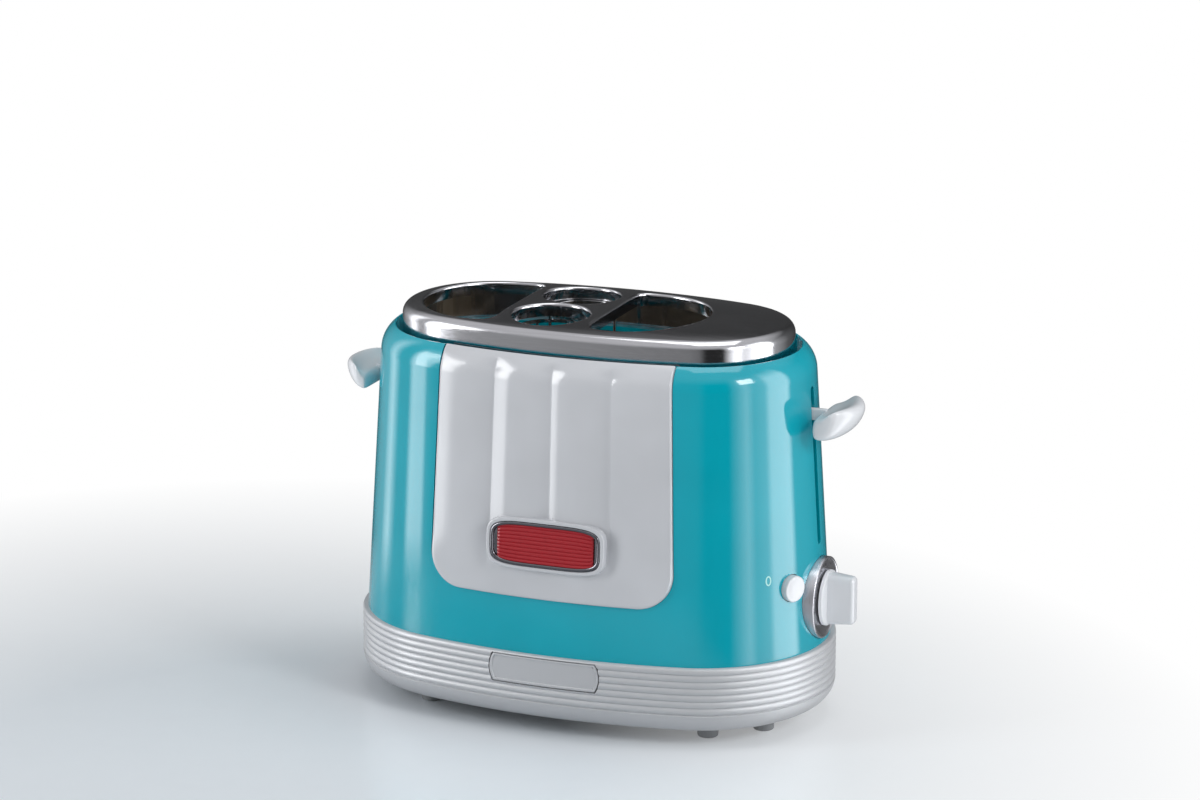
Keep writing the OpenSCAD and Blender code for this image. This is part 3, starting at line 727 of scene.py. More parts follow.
class NodeBook:
    """Adds nodes to one tree and joins them, from left to right."""

    def __init__(self, tree: bpy.types.NodeTree) -> None:
        """Start with no nodes of its own in the tree."""
        self.tree = tree
        self.count = 0

    @classmethod
    def fresh(cls, owner: bpy.types.Material | bpy.types.World) -> "NodeBook":
        """Empty a material's or a world's own tree and keep it.

        Args:
            owner: The material or world.

        Returns:
            A book on its tree.
        """
        owner.use_nodes = True
        owner.node_tree.nodes.clear()
        return cls(owner.node_tree)

    def add(self, kind: str, **settings: object) -> Node:
        """Add a node and set its own fields and its inputs.

        Args:
            kind: The node's type, such as ShaderNodeMath.
            settings: Fields of the node, or inputs by name with spaces as underscores.

        Returns:
            The new node.
        """
        node = self.tree.nodes.new(kind)
        node.location = (200 * (self.count % 8), -180 * (self.count // 8))
        self.count += 1
        for key, value in settings.items():
            if hasattr(node, key):
                setattr(node, key, value)
            else:
                self.feed(node.inputs[key.replace("_", " ")], value)
        return node

    def feed(self, socket: bpy.types.NodeSocket, value: object) -> None:
        """Join an output to an input, or set the input's own value.

        Args:
            socket: The input.
            value: An output to join, or a value to set.
        """
        if isinstance(value, bpy.types.NodeSocket):
            self.tree.links.new(value, socket)
        else:
            socket.default_value = value

    def math(self, operation: str, first: object, second: object = 0.0, clamp: bool = False) -> object:
        """Add a Math node and return its output.

        Args:
            operation: Name of the operation.
            first: First value or output.
            second: Second value or output.
            clamp: Whether the result stays from 0 to 1.

        Returns:
            The node's output.
        """
        node = self.tree.nodes.new("ShaderNodeMath")
        node.operation, node.use_clamp = operation, clamp
        self.feed(node.inputs[0], first)
        self.feed(node.inputs[1], second)
        return node.outputs[0]

    def span(self, value: object, low: float, high: float, to_low: float, to_high: float) -> object:
        """Map a value from one span to another, and return the output.

        Args:
            value: Value or output to map.
            low: Low end of its span.
            high: High end of its span.
            to_low: What the low end becomes.
            to_high: What the high end becomes.

        Returns:
            The node's output.
        """
        node = self.tree.nodes.new("ShaderNodeMapRange")
        for socket, setting in zip(node.inputs, (value, low, high, to_low, to_high)):
            self.feed(socket, setting)
        return node.outputs[0]

    def mix(self, factor: object, first: object, second: object) -> object:
        """Mix two colours and return the output.

        Args:
            factor: Share of the second colour.
            first: First colour or output.
            second: Second colour or output.

        Returns:
            The node's output.
        """
        node = self.tree.nodes.new("ShaderNodeMix")
        node.data_type = "RGBA"
        self.feed(node.inputs[0], factor)
        self.feed(node.inputs[6], first)
        self.feed(node.inputs[7], second)
        return node.outputs[2]

    def blend(self, factor: object, first: object, second: object) -> object:
        """Mix two shaders and return the output.

        Args:
            factor: Share of the second shader.
            first: First shader's output.
            second: Second shader's output.

        Returns:
            The node's output.
        """
        node = self.add("ShaderNodeMixShader")
        for socket, value in zip(node.inputs, (factor, first, second)):
            self.feed(socket, value)
        return node.outputs[0]


class SharedGroup(ABC):
    """A shader group that more than one finish places, built once."""

    name: str
    inputs: dict[str, float]
    outputs: dict[str, str]

    def tree(self) -> bpy.types.NodeTree:
        """The group's node tree, built at its first use.

        Returns:
            The node tree.
        """
        known = bpy.data.node_groups.get(self.name)
        if known is not None:
            return known
        made = bpy.data.node_groups.new(self.name, "ShaderNodeTree")
        for key, value in self.inputs.items():
            socket = made.interface.new_socket(name=key, in_out="INPUT", socket_type="NodeSocketFloat")
            socket.default_value = value
        for key, kind in self.outputs.items():
            made.interface.new_socket(name=key, in_out="OUTPUT", socket_type=kind)
        book = NodeBook(made)
        self.fill(book, book.add("NodeGroupInput"), book.add("NodeGroupOutput"))
        return made

    @abstractmethod
    def fill(self, book: NodeBook, given: Node, result: Node) -> None:
        """Build the group's nodes between its input and its output."""

    def place(self, book: NodeBook, **values: float) -> Node:
        """Place the group in a material with its own values.

        Args:
            book: Where the nodes go.
            values: Values for the group's inputs, by name.

        Returns:
            The group's node.
        """
        node = book.add("ShaderNodeGroup", node_tree=self.tree())
        for key, value in values.items():
            node.inputs[key.title()].default_value = value
        return node


class MouldedSkin(SharedGroup):
    """Faint waviness and fine grain of moulded plastic, with its uneven gloss."""

    name = "moulded_skin"
    inputs = {"Grain": 900.0, "Wave": 28.0, "Depth": 0.2}
    outputs = {"Height": "NodeSocketFloat", "Gloss": "NodeSocketFloat", "Tone": "NodeSocketFloat"}

    def fill(self, book: NodeBook, given: Node, result: Node) -> None:
        """Mix a slow wave and a fine grain.

        Args:
            book: Where the nodes go.
            given: The group's input node.
            result: The group's output node.
        """
        place = book.add("ShaderNodeTexCoord").outputs["Object"]
        grain = book.add("ShaderNodeTexNoise", Vector=place, Scale=given.outputs["Grain"], Detail=3.0)
        wave = book.add("ShaderNodeTexNoise", Vector=place, Scale=given.outputs["Wave"], Detail=2.0)
        cloud = book.add("ShaderNodeTexNoise", Vector=place, Scale=9.0, Detail=4.0)
        fine = book.math("MULTIPLY", grain.outputs[0], given.outputs["Depth"])
        book.feed(result.inputs["Height"], book.math("ADD", fine, wave.outputs[0]))
        book.feed(result.inputs["Gloss"], book.span(cloud.outputs[0], 0.35, 0.7, 0.0, 1.0))
        book.feed(result.inputs["Tone"], book.span(wave.outputs[0], 0.3, 0.7, 0.0, 1.0))


class DrawnLines(SharedGroup):
    """Fine polishing lines that run along one axis of drawn or brushed metal."""

    name = "drawn_lines"
    inputs = {"Along X": 8.0, "Along Y": 8.0, "Along Z": 1400.0}
    outputs = {"Height": "NodeSocketFloat", "Gloss": "NodeSocketFloat"}

    def fill(self, book: NodeBook, given: Node, result: Node) -> None:
        """Stretch noise along the lines.

        Args:
            book: Where the nodes go.
            given: The group's input node.
            result: The group's output node.
        """
        place = book.add("ShaderNodeTexCoord").outputs["Object"]
        scale = book.add("ShaderNodeCombineXYZ")
        for socket, key in zip(scale.inputs, self.inputs):
            book.feed(socket, given.outputs[key])
        drawn = book.add("ShaderNodeVectorMath", operation="MULTIPLY")
        book.feed(drawn.inputs[0], place)
        book.feed(drawn.inputs[1], scale.outputs[0])
        lines = book.add("ShaderNodeTexNoise", Vector=drawn.outputs[0], Scale=1.0, Detail=4.0)
        patches = book.add("ShaderNodeTexNoise", Vector=place, Scale=14.0, Detail=3.0)
        book.feed(result.inputs["Height"], lines.outputs[0])
        gloss = book.math("MULTIPLY", lines.outputs[0], patches.outputs[0])
        book.feed(result.inputs["Gloss"], book.span(gloss, 0.1, 0.45, 0.0, 1.0))


class HandlingMarks(SharedGroup):
    """Soft smudges and a little settled dust on faces that look up."""

    name = "handling_marks"
    inputs = {"Smudge Size": 22.0}
    outputs = {"Smudge": "NodeSocketFloat", "Dust": "NodeSocketFloat"}

    def fill(self, book: NodeBook, given: Node, result: Node) -> None:
        """Break large blots up with a finer noise, and find the faces that look up.

        Args:
            book: Where the nodes go.
            given: The group's input node.
            result: The group's output node.
        """
        place = book.add("ShaderNodeTexCoord").outputs["Object"]
        blots = book.add("ShaderNodeTexNoise", Vector=place, Scale=given.outputs["Smudge Size"], Detail=6.0)
        specks = book.add("ShaderNodeTexNoise", Vector=place, Scale=700.0, Detail=2.0)
        look = book.add("ShaderNodeSeparateXYZ", Vector=book.add("ShaderNodeNewGeometry").outputs["Normal"])
        upward = book.span(look.outputs[2], 0.6, 1.0, 0.0, 1.0)
        book.feed(result.inputs["Smudge"], book.span(blots.outputs[0], 0.52, 0.72, 0.0, 1.0))
        speck = book.span(specks.outputs[0], 0.5, 0.75, 0.0, 1.0)
        book.feed(result.inputs["Dust"], book.math("MULTIPLY", upward, speck))


SKIN, LINES, MARKS = MouldedSkin(), DrawnLines(), HandlingMarks()


# ---- Finishes ----


@dataclass(frozen=True)
class Finish(ABC):
    """A surface finish that can dress any piece."""

    name: str
    slot: str
    colour: Colour
    rough: float

    def material(self) -> bpy.types.Material:
        """The finish's material, made at its first use.

        Returns:
            The material.
        """
        known = bpy.data.materials.get(self.name)
        if known is not None:
            return known
        made = bpy.data.materials.new(self.name)
        book = NodeBook.fresh(made)
        shader = book.add("ShaderNodeBsdfPrincipled")
        book.feed(book.add("ShaderNodeOutputMaterial").inputs["Surface"], shader.outputs[0])
        self.shade(book, shader)
        return made

    @abstractmethod
    def shade(self, book: NodeBook, shader: Node) -> None:
        """Build the nodes that feed the shader."""

    def tones(self, lift: float) -> tuple[tuple[float, ...], tuple[float, ...]]:
        """A slightly darker and a slightly lighter shade of the colour.

        Args:
            lift: Share by which the shades differ from the colour.

        Returns:
            The darker and the lighter shade, with their alpha.
        """
        low = tuple(max(c * (1 - lift), 0.0) for c in self.colour)
        high = tuple(min(c * (1 + lift), 1.0) for c in self.colour)
        return (*low, 1.0), (*high, 1.0)

    def wear(self, book: NodeBook, shader: Node, gloss: object, smudge: object, share: float) -> None:
        """Feed an uneven gloss and its smudges into the shader's roughness.

        Args:
            book: Where the nodes go.
            shader: The shader to feed.
            gloss: Output with the roughness before smudges.
            smudge: Output with the smudges.
            share: How much a full smudge adds.
        """
        marked = book.math("MULTIPLY", smudge, share)
        book.feed(shader.inputs["Roughness"], book.math("ADD", gloss, marked))

    def bump(self, book: NodeBook, shader: Node, height: object, strength: float, far: float) -> None:
        """Feed a height through a Bump node into the shader's normal.

        Args:
            book: Where the nodes go.
            shader: The shader to feed.
            height: The height's output.
            strength: Strength of the bump.
            far: Depth of the bump in metres.
        """
        node = book.add("ShaderNodeBump", Strength=strength, Distance=far, Height=height)
        book.feed(shader.inputs["Normal"], node.outputs[0])


@dataclass(frozen=True)
class Plastic(Finish):
    """Glossy or matt moulded plastic."""

    grain: float = 900.0
    wave: float = 26.0
    relief: float = 0.06
    coat: float = 0.0
    uneven: float = 0.05
    gloss: float = 0.5

    def shade(self, book: NodeBook, shader: Node) -> None:
        """Vary tone and gloss a little, and add the moulding's faint waviness.

        Args:
            book: Where the nodes go.
            shader: The shader to feed.
        """
        skin = SKIN.place(book, grain=self.grain, wave=self.wave)
        marks = MARKS.place(book)
        low, high = self.tones(0.035)
        tone = book.mix(skin.outputs["Tone"], low, high)
        dusty = book.math("MULTIPLY", marks.outputs["Dust"], 0.05)
        book.feed(shader.inputs["Base Color"], book.mix(dusty, tone, (0.7, 0.7, 0.68, 1.0)))
        gloss = book.span(skin.outputs["Gloss"], 0.0, 1.0, self.rough, self.rough + self.uneven)
        self.wear(book, shader, gloss, marks.outputs["Smudge"], self.uneven)
        shader.inputs["IOR"].default_value = 1.5
        shader.inputs["Specular IOR Level"].default_value = self.gloss
        if self.coat:
            shader.inputs["Coat Weight"].default_value = self.coat
            shader.inputs["Coat Roughness"].default_value = 0.03
        self.bump(book, shader, skin.outputs["Height"], self.relief, 0.0004)


@dataclass(frozen=True)
class RibbedPlastic(Plastic):
    """Coloured plastic with painted light and shade on its ribs: a painted highlight along each rib's top and
    painted shade in the valleys between.
    """

    ribs: int = 10
    dot_at: float = 0.465

    def shade(self, book: NodeBook, shader: Node) -> None:
        """Paint shade into the valleys between the ribs and a highlight onto their tops, and brighten a dot near
        each rib's ends.

        Args:
            book: Where the nodes go.
            shader: The shader to feed.
        """
        super().shade(book, shader)
        across = book.add("ShaderNodeSeparateXYZ", Vector=book.add("ShaderNodeTexCoord").outputs["UV"])
        wave = book.math(
            "ABSOLUTE", book.math("SINE", book.math("MULTIPLY", across.outputs[1], pi * self.ribs))
        )
        painted_rib_shading = book.span(wave, 0.15, 0.85, 0.0, 1.0)
        # Painted shade in the valleys and painted highlight on the rib tops, mixed into the base colour.
        dark, bright = tuple(c * 0.28 for c in self.colour), tuple(c * 1.2 for c in self.colour)
        tone = book.mix(painted_rib_shading, (*dark, 1.0), (*bright, 1.0))
        side = book.math("ABSOLUTE", book.math("SUBTRACT", across.outputs[0], 0.5))
        near = book.math("ABSOLUTE", book.math("SUBTRACT", side, self.dot_at))
        dot = book.math(
            "MULTIPLY", book.span(near, 0.004, 0.012, 1.0, 0.0), book.span(wave, 0.75, 0.95, 0.0, 1.0)
        )
        book.feed(shader.inputs["Base Color"], book.mix(dot, tone, (0.75, 0.12, 0.1, 1.0)))


@dataclass(frozen=True)
class Metal(Finish):
    """Polished, brushed or plated metal with lines along one axis."""

    lines: tuple[float, float, float] = (8.0, 8.0, 1400.0)
    relief: float = 0.05
    spread: float = 0.12
    aniso: float = 0.0

    def shade(self, book: NodeBook, shader: Node) -> None:
        """Add drawn lines, uneven gloss and smudges.

        Args:
            book: Where the nodes go.
            shader: The shader to feed.
        """
        drawn = LINES.place(
            book, **{"along x": self.lines[0], "along y": self.lines[1], "along z": self.lines[2]}
        )
        marks = MARKS.place(book, **{"smudge size": 16.0})
        low, high = self.tones(0.06)
        book.feed(shader.inputs["Base Color"], book.mix(drawn.outputs["Gloss"], low, high))
        shader.inputs["Metallic"].default_value = 1.0
        if self.aniso:
            shader.inputs["Anisotropic"].default_value = self.aniso
        gloss = book.span(drawn.outputs["Gloss"], 0.0, 1.0, self.rough, self.rough + self.spread)
        self.wear(book, shader, gloss, marks.outputs["Smudge"], self.spread / 2)
        self.bump(book, shader, drawn.outputs["Height"], self.relief, 0.0001)


@dataclass(frozen=True)
class FlakePaint(Finish):
    """Satin silver paint with fine metal flakes under a soft lacquer."""

    flake: float = 2600.0

    def shade(self, book: NodeBook, shader: Node) -> None:
        """Scatter flakes over a metallic base.

        Args:
            book: Where the nodes go.
            shader: The shader to feed.
        """
        skin = SKIN.place(book, grain=1500.0, wave=30.0)
        marks = MARKS.place(book)
        place = book.add("ShaderNodeTexCoord").outputs["Object"]
        flakes = book.add("ShaderNodeTexVoronoi", Vector=place, Scale=self.flake)
        sparkle = book.add("ShaderNodeSeparateColor", Color=flakes.outputs["Color"])
        low, high = self.tones(0.09)
        tone = book.mix(sparkle.outputs[0], low, high)
        dusty = book.math("MULTIPLY", marks.outputs["Dust"], 0.06)
        book.feed(shader.inputs["Base Color"], book.mix(dusty, tone, (0.6, 0.6, 0.58, 1.0)))
        shader.inputs["Metallic"].default_value = 0.85
        gloss = book.span(sparkle.outputs[1], 0.0, 1.0, self.rough - 0.04, self.rough + 0.05)
        self.wear(book, shader, gloss, marks.outputs["Smudge"], 0.05)
        self.bump(book, shader, skin.outputs["Height"], 0.08, 0.0003)


@dataclass(frozen=True)
class Blotched(Finish):
    """Mica, winding or scorched strip: a blotched colour with a dry surface."""

    second: Colour = (0.3, 0.2, 0.1)
    size: float = 60.0
    metal: float = 0.0

    def shade(self, book: NodeBook, shader: Node) -> None:
        """Mix two colours in blots and roughen the darker one.

        Args:
            book: Where the nodes go.
            shader: The shader to feed.
        """
        place = book.add("ShaderNodeTexCoord").outputs["Object"]
        blots = book.add("ShaderNodeTexNoise", Vector=place, Scale=self.size, Detail=8.0, Roughness=0.65)
        mask = book.span(blots.outputs[0], 0.35, 0.68, 0.0, 1.0)
        skin = SKIN.place(book, grain=1200.0, wave=80.0)
        book.feed(shader.inputs["Base Color"], book.mix(mask, (*self.colour, 1.0), (*self.second, 1.0)))
        book.feed(
            shader.inputs["Roughness"], book.span(mask, 0.0, 1.0, self.rough, min(self.rough + 0.2, 1.0))
        )
        shader.inputs["Metallic"].default_value = self.metal
        self.bump(book, shader, skin.outputs["Height"], 0.25, 0.0003)


SHELL_BLUE = Plastic("turquoise_shell", "shell_plastic", (0.0, 0.36, 0.455), 0.06, relief=0.03, coat=0.25)
PANEL_GREY = Plastic("pale_panel", "panel_plastic", (0.55, 0.565, 0.595), 0.13, relief=0.03, coat=0.2)
WHITE = Plastic("white_lever", "white_plastic", (0.74, 0.76, 0.79), 0.2, relief=0.05)
# The badge's red carries painted shade between its ribs and painted highlights on their tops.
BADGE_RED = RibbedPlastic("badge_red", "badge_red", (0.42, 0.003, 0.008), 0.22, wave=90.0, gloss=0.25)
MINT = Plastic("mint_print", "white_plastic", (0.44, 0.8, 0.76), 0.35)
BLACK = Plastic("black_moulding", "dark_plastic", (0.025, 0.025, 0.028), 0.45, relief=0.2, uneven=0.15)
FOOT = Plastic("grey_foot", "foot_rubber", (0.26, 0.27, 0.28), 0.5, relief=0.3, uneven=0.15)
SILVER = FlakePaint("silver_paint", "silver_paint", (0.34, 0.345, 0.36), 0.24)
CHROME = Metal("dark_chrome", "badge_chrome", (0.2, 0.2, 0.22), 0.1, spread=0.06)
TOP_STEEL = Metal(
    "polished_top", "polished_steel", (0.5, 0.5, 0.52), 0.07, lines=(9.0, 1100.0, 1100.0), relief=0.04
)
DIAL_STEEL = Metal("dial_silver", "silver_paint", (0.62, 0.62, 0.66), 0.24, lines=(1400.0, 12.0, 12.0))
ZINC = Metal("plated_sheet", "zinc_steel", (0.5, 0.51, 0.52), 0.3, lines=(10.0, 10.0, 900.0), spread=0.2)
WIRE = Metal("bright_wire", "bright_wire", (0.6, 0.6, 0.61), 0.16, lines=(500.0, 500.0, 30.0))
MICA = Blotched("pressed_mica", "mica", (0.5, 0.42, 0.3), 0.55, second=(0.36, 0.28, 0.17))
STRIP = Blotched("heater_strip", "heater_wire", (0.24, 0.2, 0.18), 0.4, second=(0.1, 0.07, 0.08), metal=0.9)
COPPER = Blotched(
    "winding", "copper_coil", (0.42, 0.15, 0.05), 0.35, second=(0.3, 0.09, 0.03), size=300, metal=0.7
)
BOARD = Blotched("solder_mask", "board", (0.02, 0.14, 0.06), 0.4, second=(0.015, 0.1, 0.045), size=120)
INK = Plastic("dial_ink", "dark_plastic", (0.04, 0.035, 0.05), 0.5)


def dress(piece: Piece, finish: Finish, body: str = "body") -> Piece:
    """Give a finished piece its material and the body that carries it.

    Args:
        piece: The finished mesh, at the origin.
        finish: Its finish.
        body: The frame's body that it moves with.

    Returns:
        The same object.
    """
    if not piece.data.materials:
        piece.data.materials.append(finish.material())
    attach(piece, body)
    faces = len(piece.data.polygons)
    log.info("%s: %d faces, %s, on %s", piece.name, faces, finish.name, body)
    return piece


# ---- Shell ----


@dataclass
class Shell:
    """The turquoise body with its rim, ledge, slots and holes."""

    wall: float = 2.5
    rim_recess: float = 9.5
    ledge_w: float = 10.5
    ledge_t: float = 2.5
    rim_round: float = 0.35
    rim_blend: float = 0.02
    wall_rows: int = 14
    shoulder_rows: int = 12
    slot_w: float = 4.8
    slot_low: float = 99.3
    slot_high: float = 185.3
    cut_in: float = 25.0
    cut_out: float = 10.0

    @property
    def recess_in(self) -> float:
        """How far inside the outline the rim's inner face stands."""
        return -WALL.rim[0] + WALL.rim_land

    @property
    def ledge_z(self) -> float:
        """Height of the ledge that carries the steel top."""
        return WALL.rim[1] - self.rim_recess

    def profile(self) -> list[Point]:
        """Closed profile: up the outside, over the rim, down to the ledge and down the inside.

        Returns:
            The points in millimetres, in order.
        """
        foot, shoulder = WALL.on_wall(WALL.foot_z, 0), WALL.on_wall(WALL.shoulder_z, 0)
        r = self.rim_round
        top_z = WALL.rim[1]
        rim = WALL.on_shoulder(WALL.rim_a - self.rim_blend, 0)
        ledge_in = self.recess_in + self.ledge_w
        under = self.ledge_z - self.ledge_t
        points = line(foot, shoulder, self.wall_rows)
        points += arc(
            WALL.turn, WALL.shoulder_r, WALL.draft, WALL.rim_a - self.rim_blend, self.shoulder_rows
        )[:-1]
        points += [rim, (rim[0] - r, top_z + 0.05), (-self.recess_in + r, top_z)]
        points += [(-self.recess_in, top_z - r), (-self.recess_in, self.ledge_z), (-ledge_in, self.ledge_z)]
        points += [(-ledge_in, under), WALL.on_wall(under, -self.wall)]
        points += [(-self.wall / cos(WALL.draft), WALL.foot_z), foot]
        return points

    def slot_tool(self, side: int) -> Piece:
        """Cutter with round ends for one lever's slot.

        Args:
            side: -1 for the left end, 1 for the right end.

        Returns:
            The cutter.
        """
        half, reach = self.slot_w / 2, PLAN.length / 2
        inner, outer = reach - self.cut_in, reach + self.cut_out
        low = Vector((min(side * inner, side * outer), -half, self.slot_low))
        high = Vector((max(side * inner, side * outer), half, self.slot_high))
        tool = bar("slot_tool", low, high)
        with Bench(tool) as bench:
            bench.edges(lambda a, b: abs(a.x - b.x) > 10 * MM).bevel(half - 0.05, 6)
        return tool

    def build(self) -> Piece:
        """Sweep the wall, then cut the slots, the holes and the panel's bed.

        Returns:
            The finished shell.
        """
        shell = PLAN.sweep("shell", self.profile())
        for side in (-1, 1):
            cut(shell, self.slot_tool(side))
        cut(shell, DIAL.hole_tool())
        cut(shell, BUTTON.hole_tool())
        cut(shell, PANEL.bed_tool())
        return face_normals(shell, lambda p: swept_normal(p, WALL.lean))

    def dress(self) -> None:
        """Build the shell and finish it."""
        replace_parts(dress(self.build(), SHELL_BLUE), "outer_shell")


# ---- Front panel ----


@dataclass
class Panel:
    """The pale panel: four convex flutes that run down from the rim and fade out near its lower edge."""

    half: float = 70.2
    narrowing: float = 0.033
    low_z: float = 75.5
    corner: float = 19.0
    flutes: int = 4
    stand: float = 1.8
    depth: float = 3.0
    bed: float = 1.6
    gap: float = 0.3
    edge_r: float = 1.3
    across: int = 144
    rows: int = 110
    corner_rows: int = 16
    cut_out: float = 8.0

    def half_at(self, height: float) -> float:
        """Half width of the panel at a height, with its sides straight."""
        return self.half - self.narrowing * (height - WALL.foot_z)

    def side_at(self, height: float) -> float:
        """Half width of the outline at a height, with its round lower corners.

        Args:
            height: Height in millimetres.

        Returns:
            Half width in millimetres.
        """
        rise = height - self.low_z
        full = self.half_at(height)
        if rise >= self.corner:
            return full
        return full - self.corner + sqrt(max(self.corner**2 - (self.corner - rise) ** 2, 0.0))

    def inset(self, x: float, height: float) -> float:
        """Distance of a point inside the outline, measured on the face.

        Args:
            x: Place along the length.
            height: Height in millimetres.

        Returns:
            The distance in millimetres.
        """
        rise, room = height - self.low_z, self.half_at(height) - abs(x)
        if rise < self.corner and room < self.corner:
            return self.corner - hypot(self.corner - room, self.corner - rise)
        return min(room, rise)

    def heights(self) -> list[float]:
        """Shares along the way up at which the rows lie, close together round the corners.

        Returns:
            The shares, from 0 to 1.
        """
        turn = [1 - cos(pi / 2 * i / self.corner_rows) for i in range(self.corner_rows + 1)]
        length = (WALL.shoulder_z - self.low_z) / cos(WALL.draft) + WALL.shoulder_r * WALL.shoulder_turn
        low = [self.corner * t / length for t in turn]
        rest = self.rows - len(low)
        return low + [low[-1] + (1 - low[-1]) * (i + 1) / rest for i in range(rest)]

    def relief(self, x: float, share: float, height: float) -> float:
        """How far the face stands out of the wall.

        Args:
            x: Place across the panel.
            share: Share of the way up the face, 1 at the rim.
            height: Height of the point.

        Returns:
            Distance out along the wall's normal, in millimetres.
        """
        place = (x / self.half_at(height) + 1) * self.flutes / 2
        local = 2 * (place - int(min(max(place, 0), self.flutes - 1))) - 1
        ends = abs(place - self.flutes / 2) > self.flutes / 2 - 0.5
        outer_side = ends and (local > 0) == (x > 0)
        dip = abs(local) ** 1.9 * self.depth * (0.35 if outer_side else 1.0)
        fade = ease(height, self.low_z + 7, self.low_z + 34) * (1 - ease(share, 0.925, 0.985))
        stand = self.stand * (1 - 0.7 * ease(share, 0.9, 1.0))
        edge = min(max(self.inset(x, height), 0.0), self.edge_r)
        roll = self.edge_r - sqrt(self.edge_r**2 - (self.edge_r - edge) ** 2)
        return stand - dip * fade - roll

    def place(
        self, u: float, v: float, shares: list[float], out: Callable[..., float], grow: float
    ) -> Vector:
        """A point of the panel's grid, in millimetres.

        Args:
            u: Share along the first side.
            v: Share along the second side.
            shares: Shares of the way up at which the rows lie.
            out: Gives the distance out of the wall at a place, a share and a height.
            grow: How far the outline is moved out, in millimetres.

        Returns:
            The point in millimetres.
        """
        share = shares[round(v * (len(shares) - 1))]
        (inward, height), angle = WALL.path(share, self.low_z)
        side = self.side_at(height) + grow
        x = (2 * u - 1) * side
        stand = out(x, share, height)
        distance = inward + stand * cos(angle)
        turn = asin(x / (PLAN.face_r + distance))
        y = PLAN.face_c - (PLAN.face_r + distance) * cos(turn)
        return Vector((x, y, height + stand * sin(angle)))

    def skin(self, name: str, out: Callable[..., float], grow: float = 0.0) -> Piece:
        """One face of the panel as an open grid."""
        shares = self.heights()
        return grid(name, self.across, len(shares) - 1, lambda u, v: self.place(u, v, shares, out, grow))

    def between(
        self, name: str, front: Callable[..., float], back: Callable[..., float], grow: float
    ) -> Piece:
        """Close two faces with a wall around their edges.

        Args:
            name: Name of the new object.
            front: Gives how far the front face stands out of the wall.
            back: Gives how far the back face stands out of it.
            grow: How far the outline is moved out, in millimetres.

        Returns:
            The closed object.
        """
        whole = join(name, [self.skin(name, front, grow), self.skin("back", back, grow)])
        with Bench(whole) as bench:
            bpy.ops.mesh.select_mode(type="EDGE")
            bpy.ops.mesh.select_non_manifold(extend=False, use_boundary=True)
            bpy.ops.mesh.bridge_edge_loops()
            bench.merge().outward()
        return whole

    def bed_tool(self) -> Piece:
        """Cutter for the bed that the panel lies in."""
        return self.between("bed_tool", lambda *at: self.cut_out, lambda *at: -self.bed - self.gap, self.gap)

    def dress(self) -> None:
        """Build the panel with the badge's surround and finish it."""
        panel = self.between("fluted_panel", self.relief, lambda *at: -self.bed, 0.0)
        smooth(panel, radians(40))
        whole = join("fluted_panel", [panel, smooth(BADGE.surround())])
        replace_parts(dress(whole, PANEL_GREY), "front_panel")


# ---- Badge ----


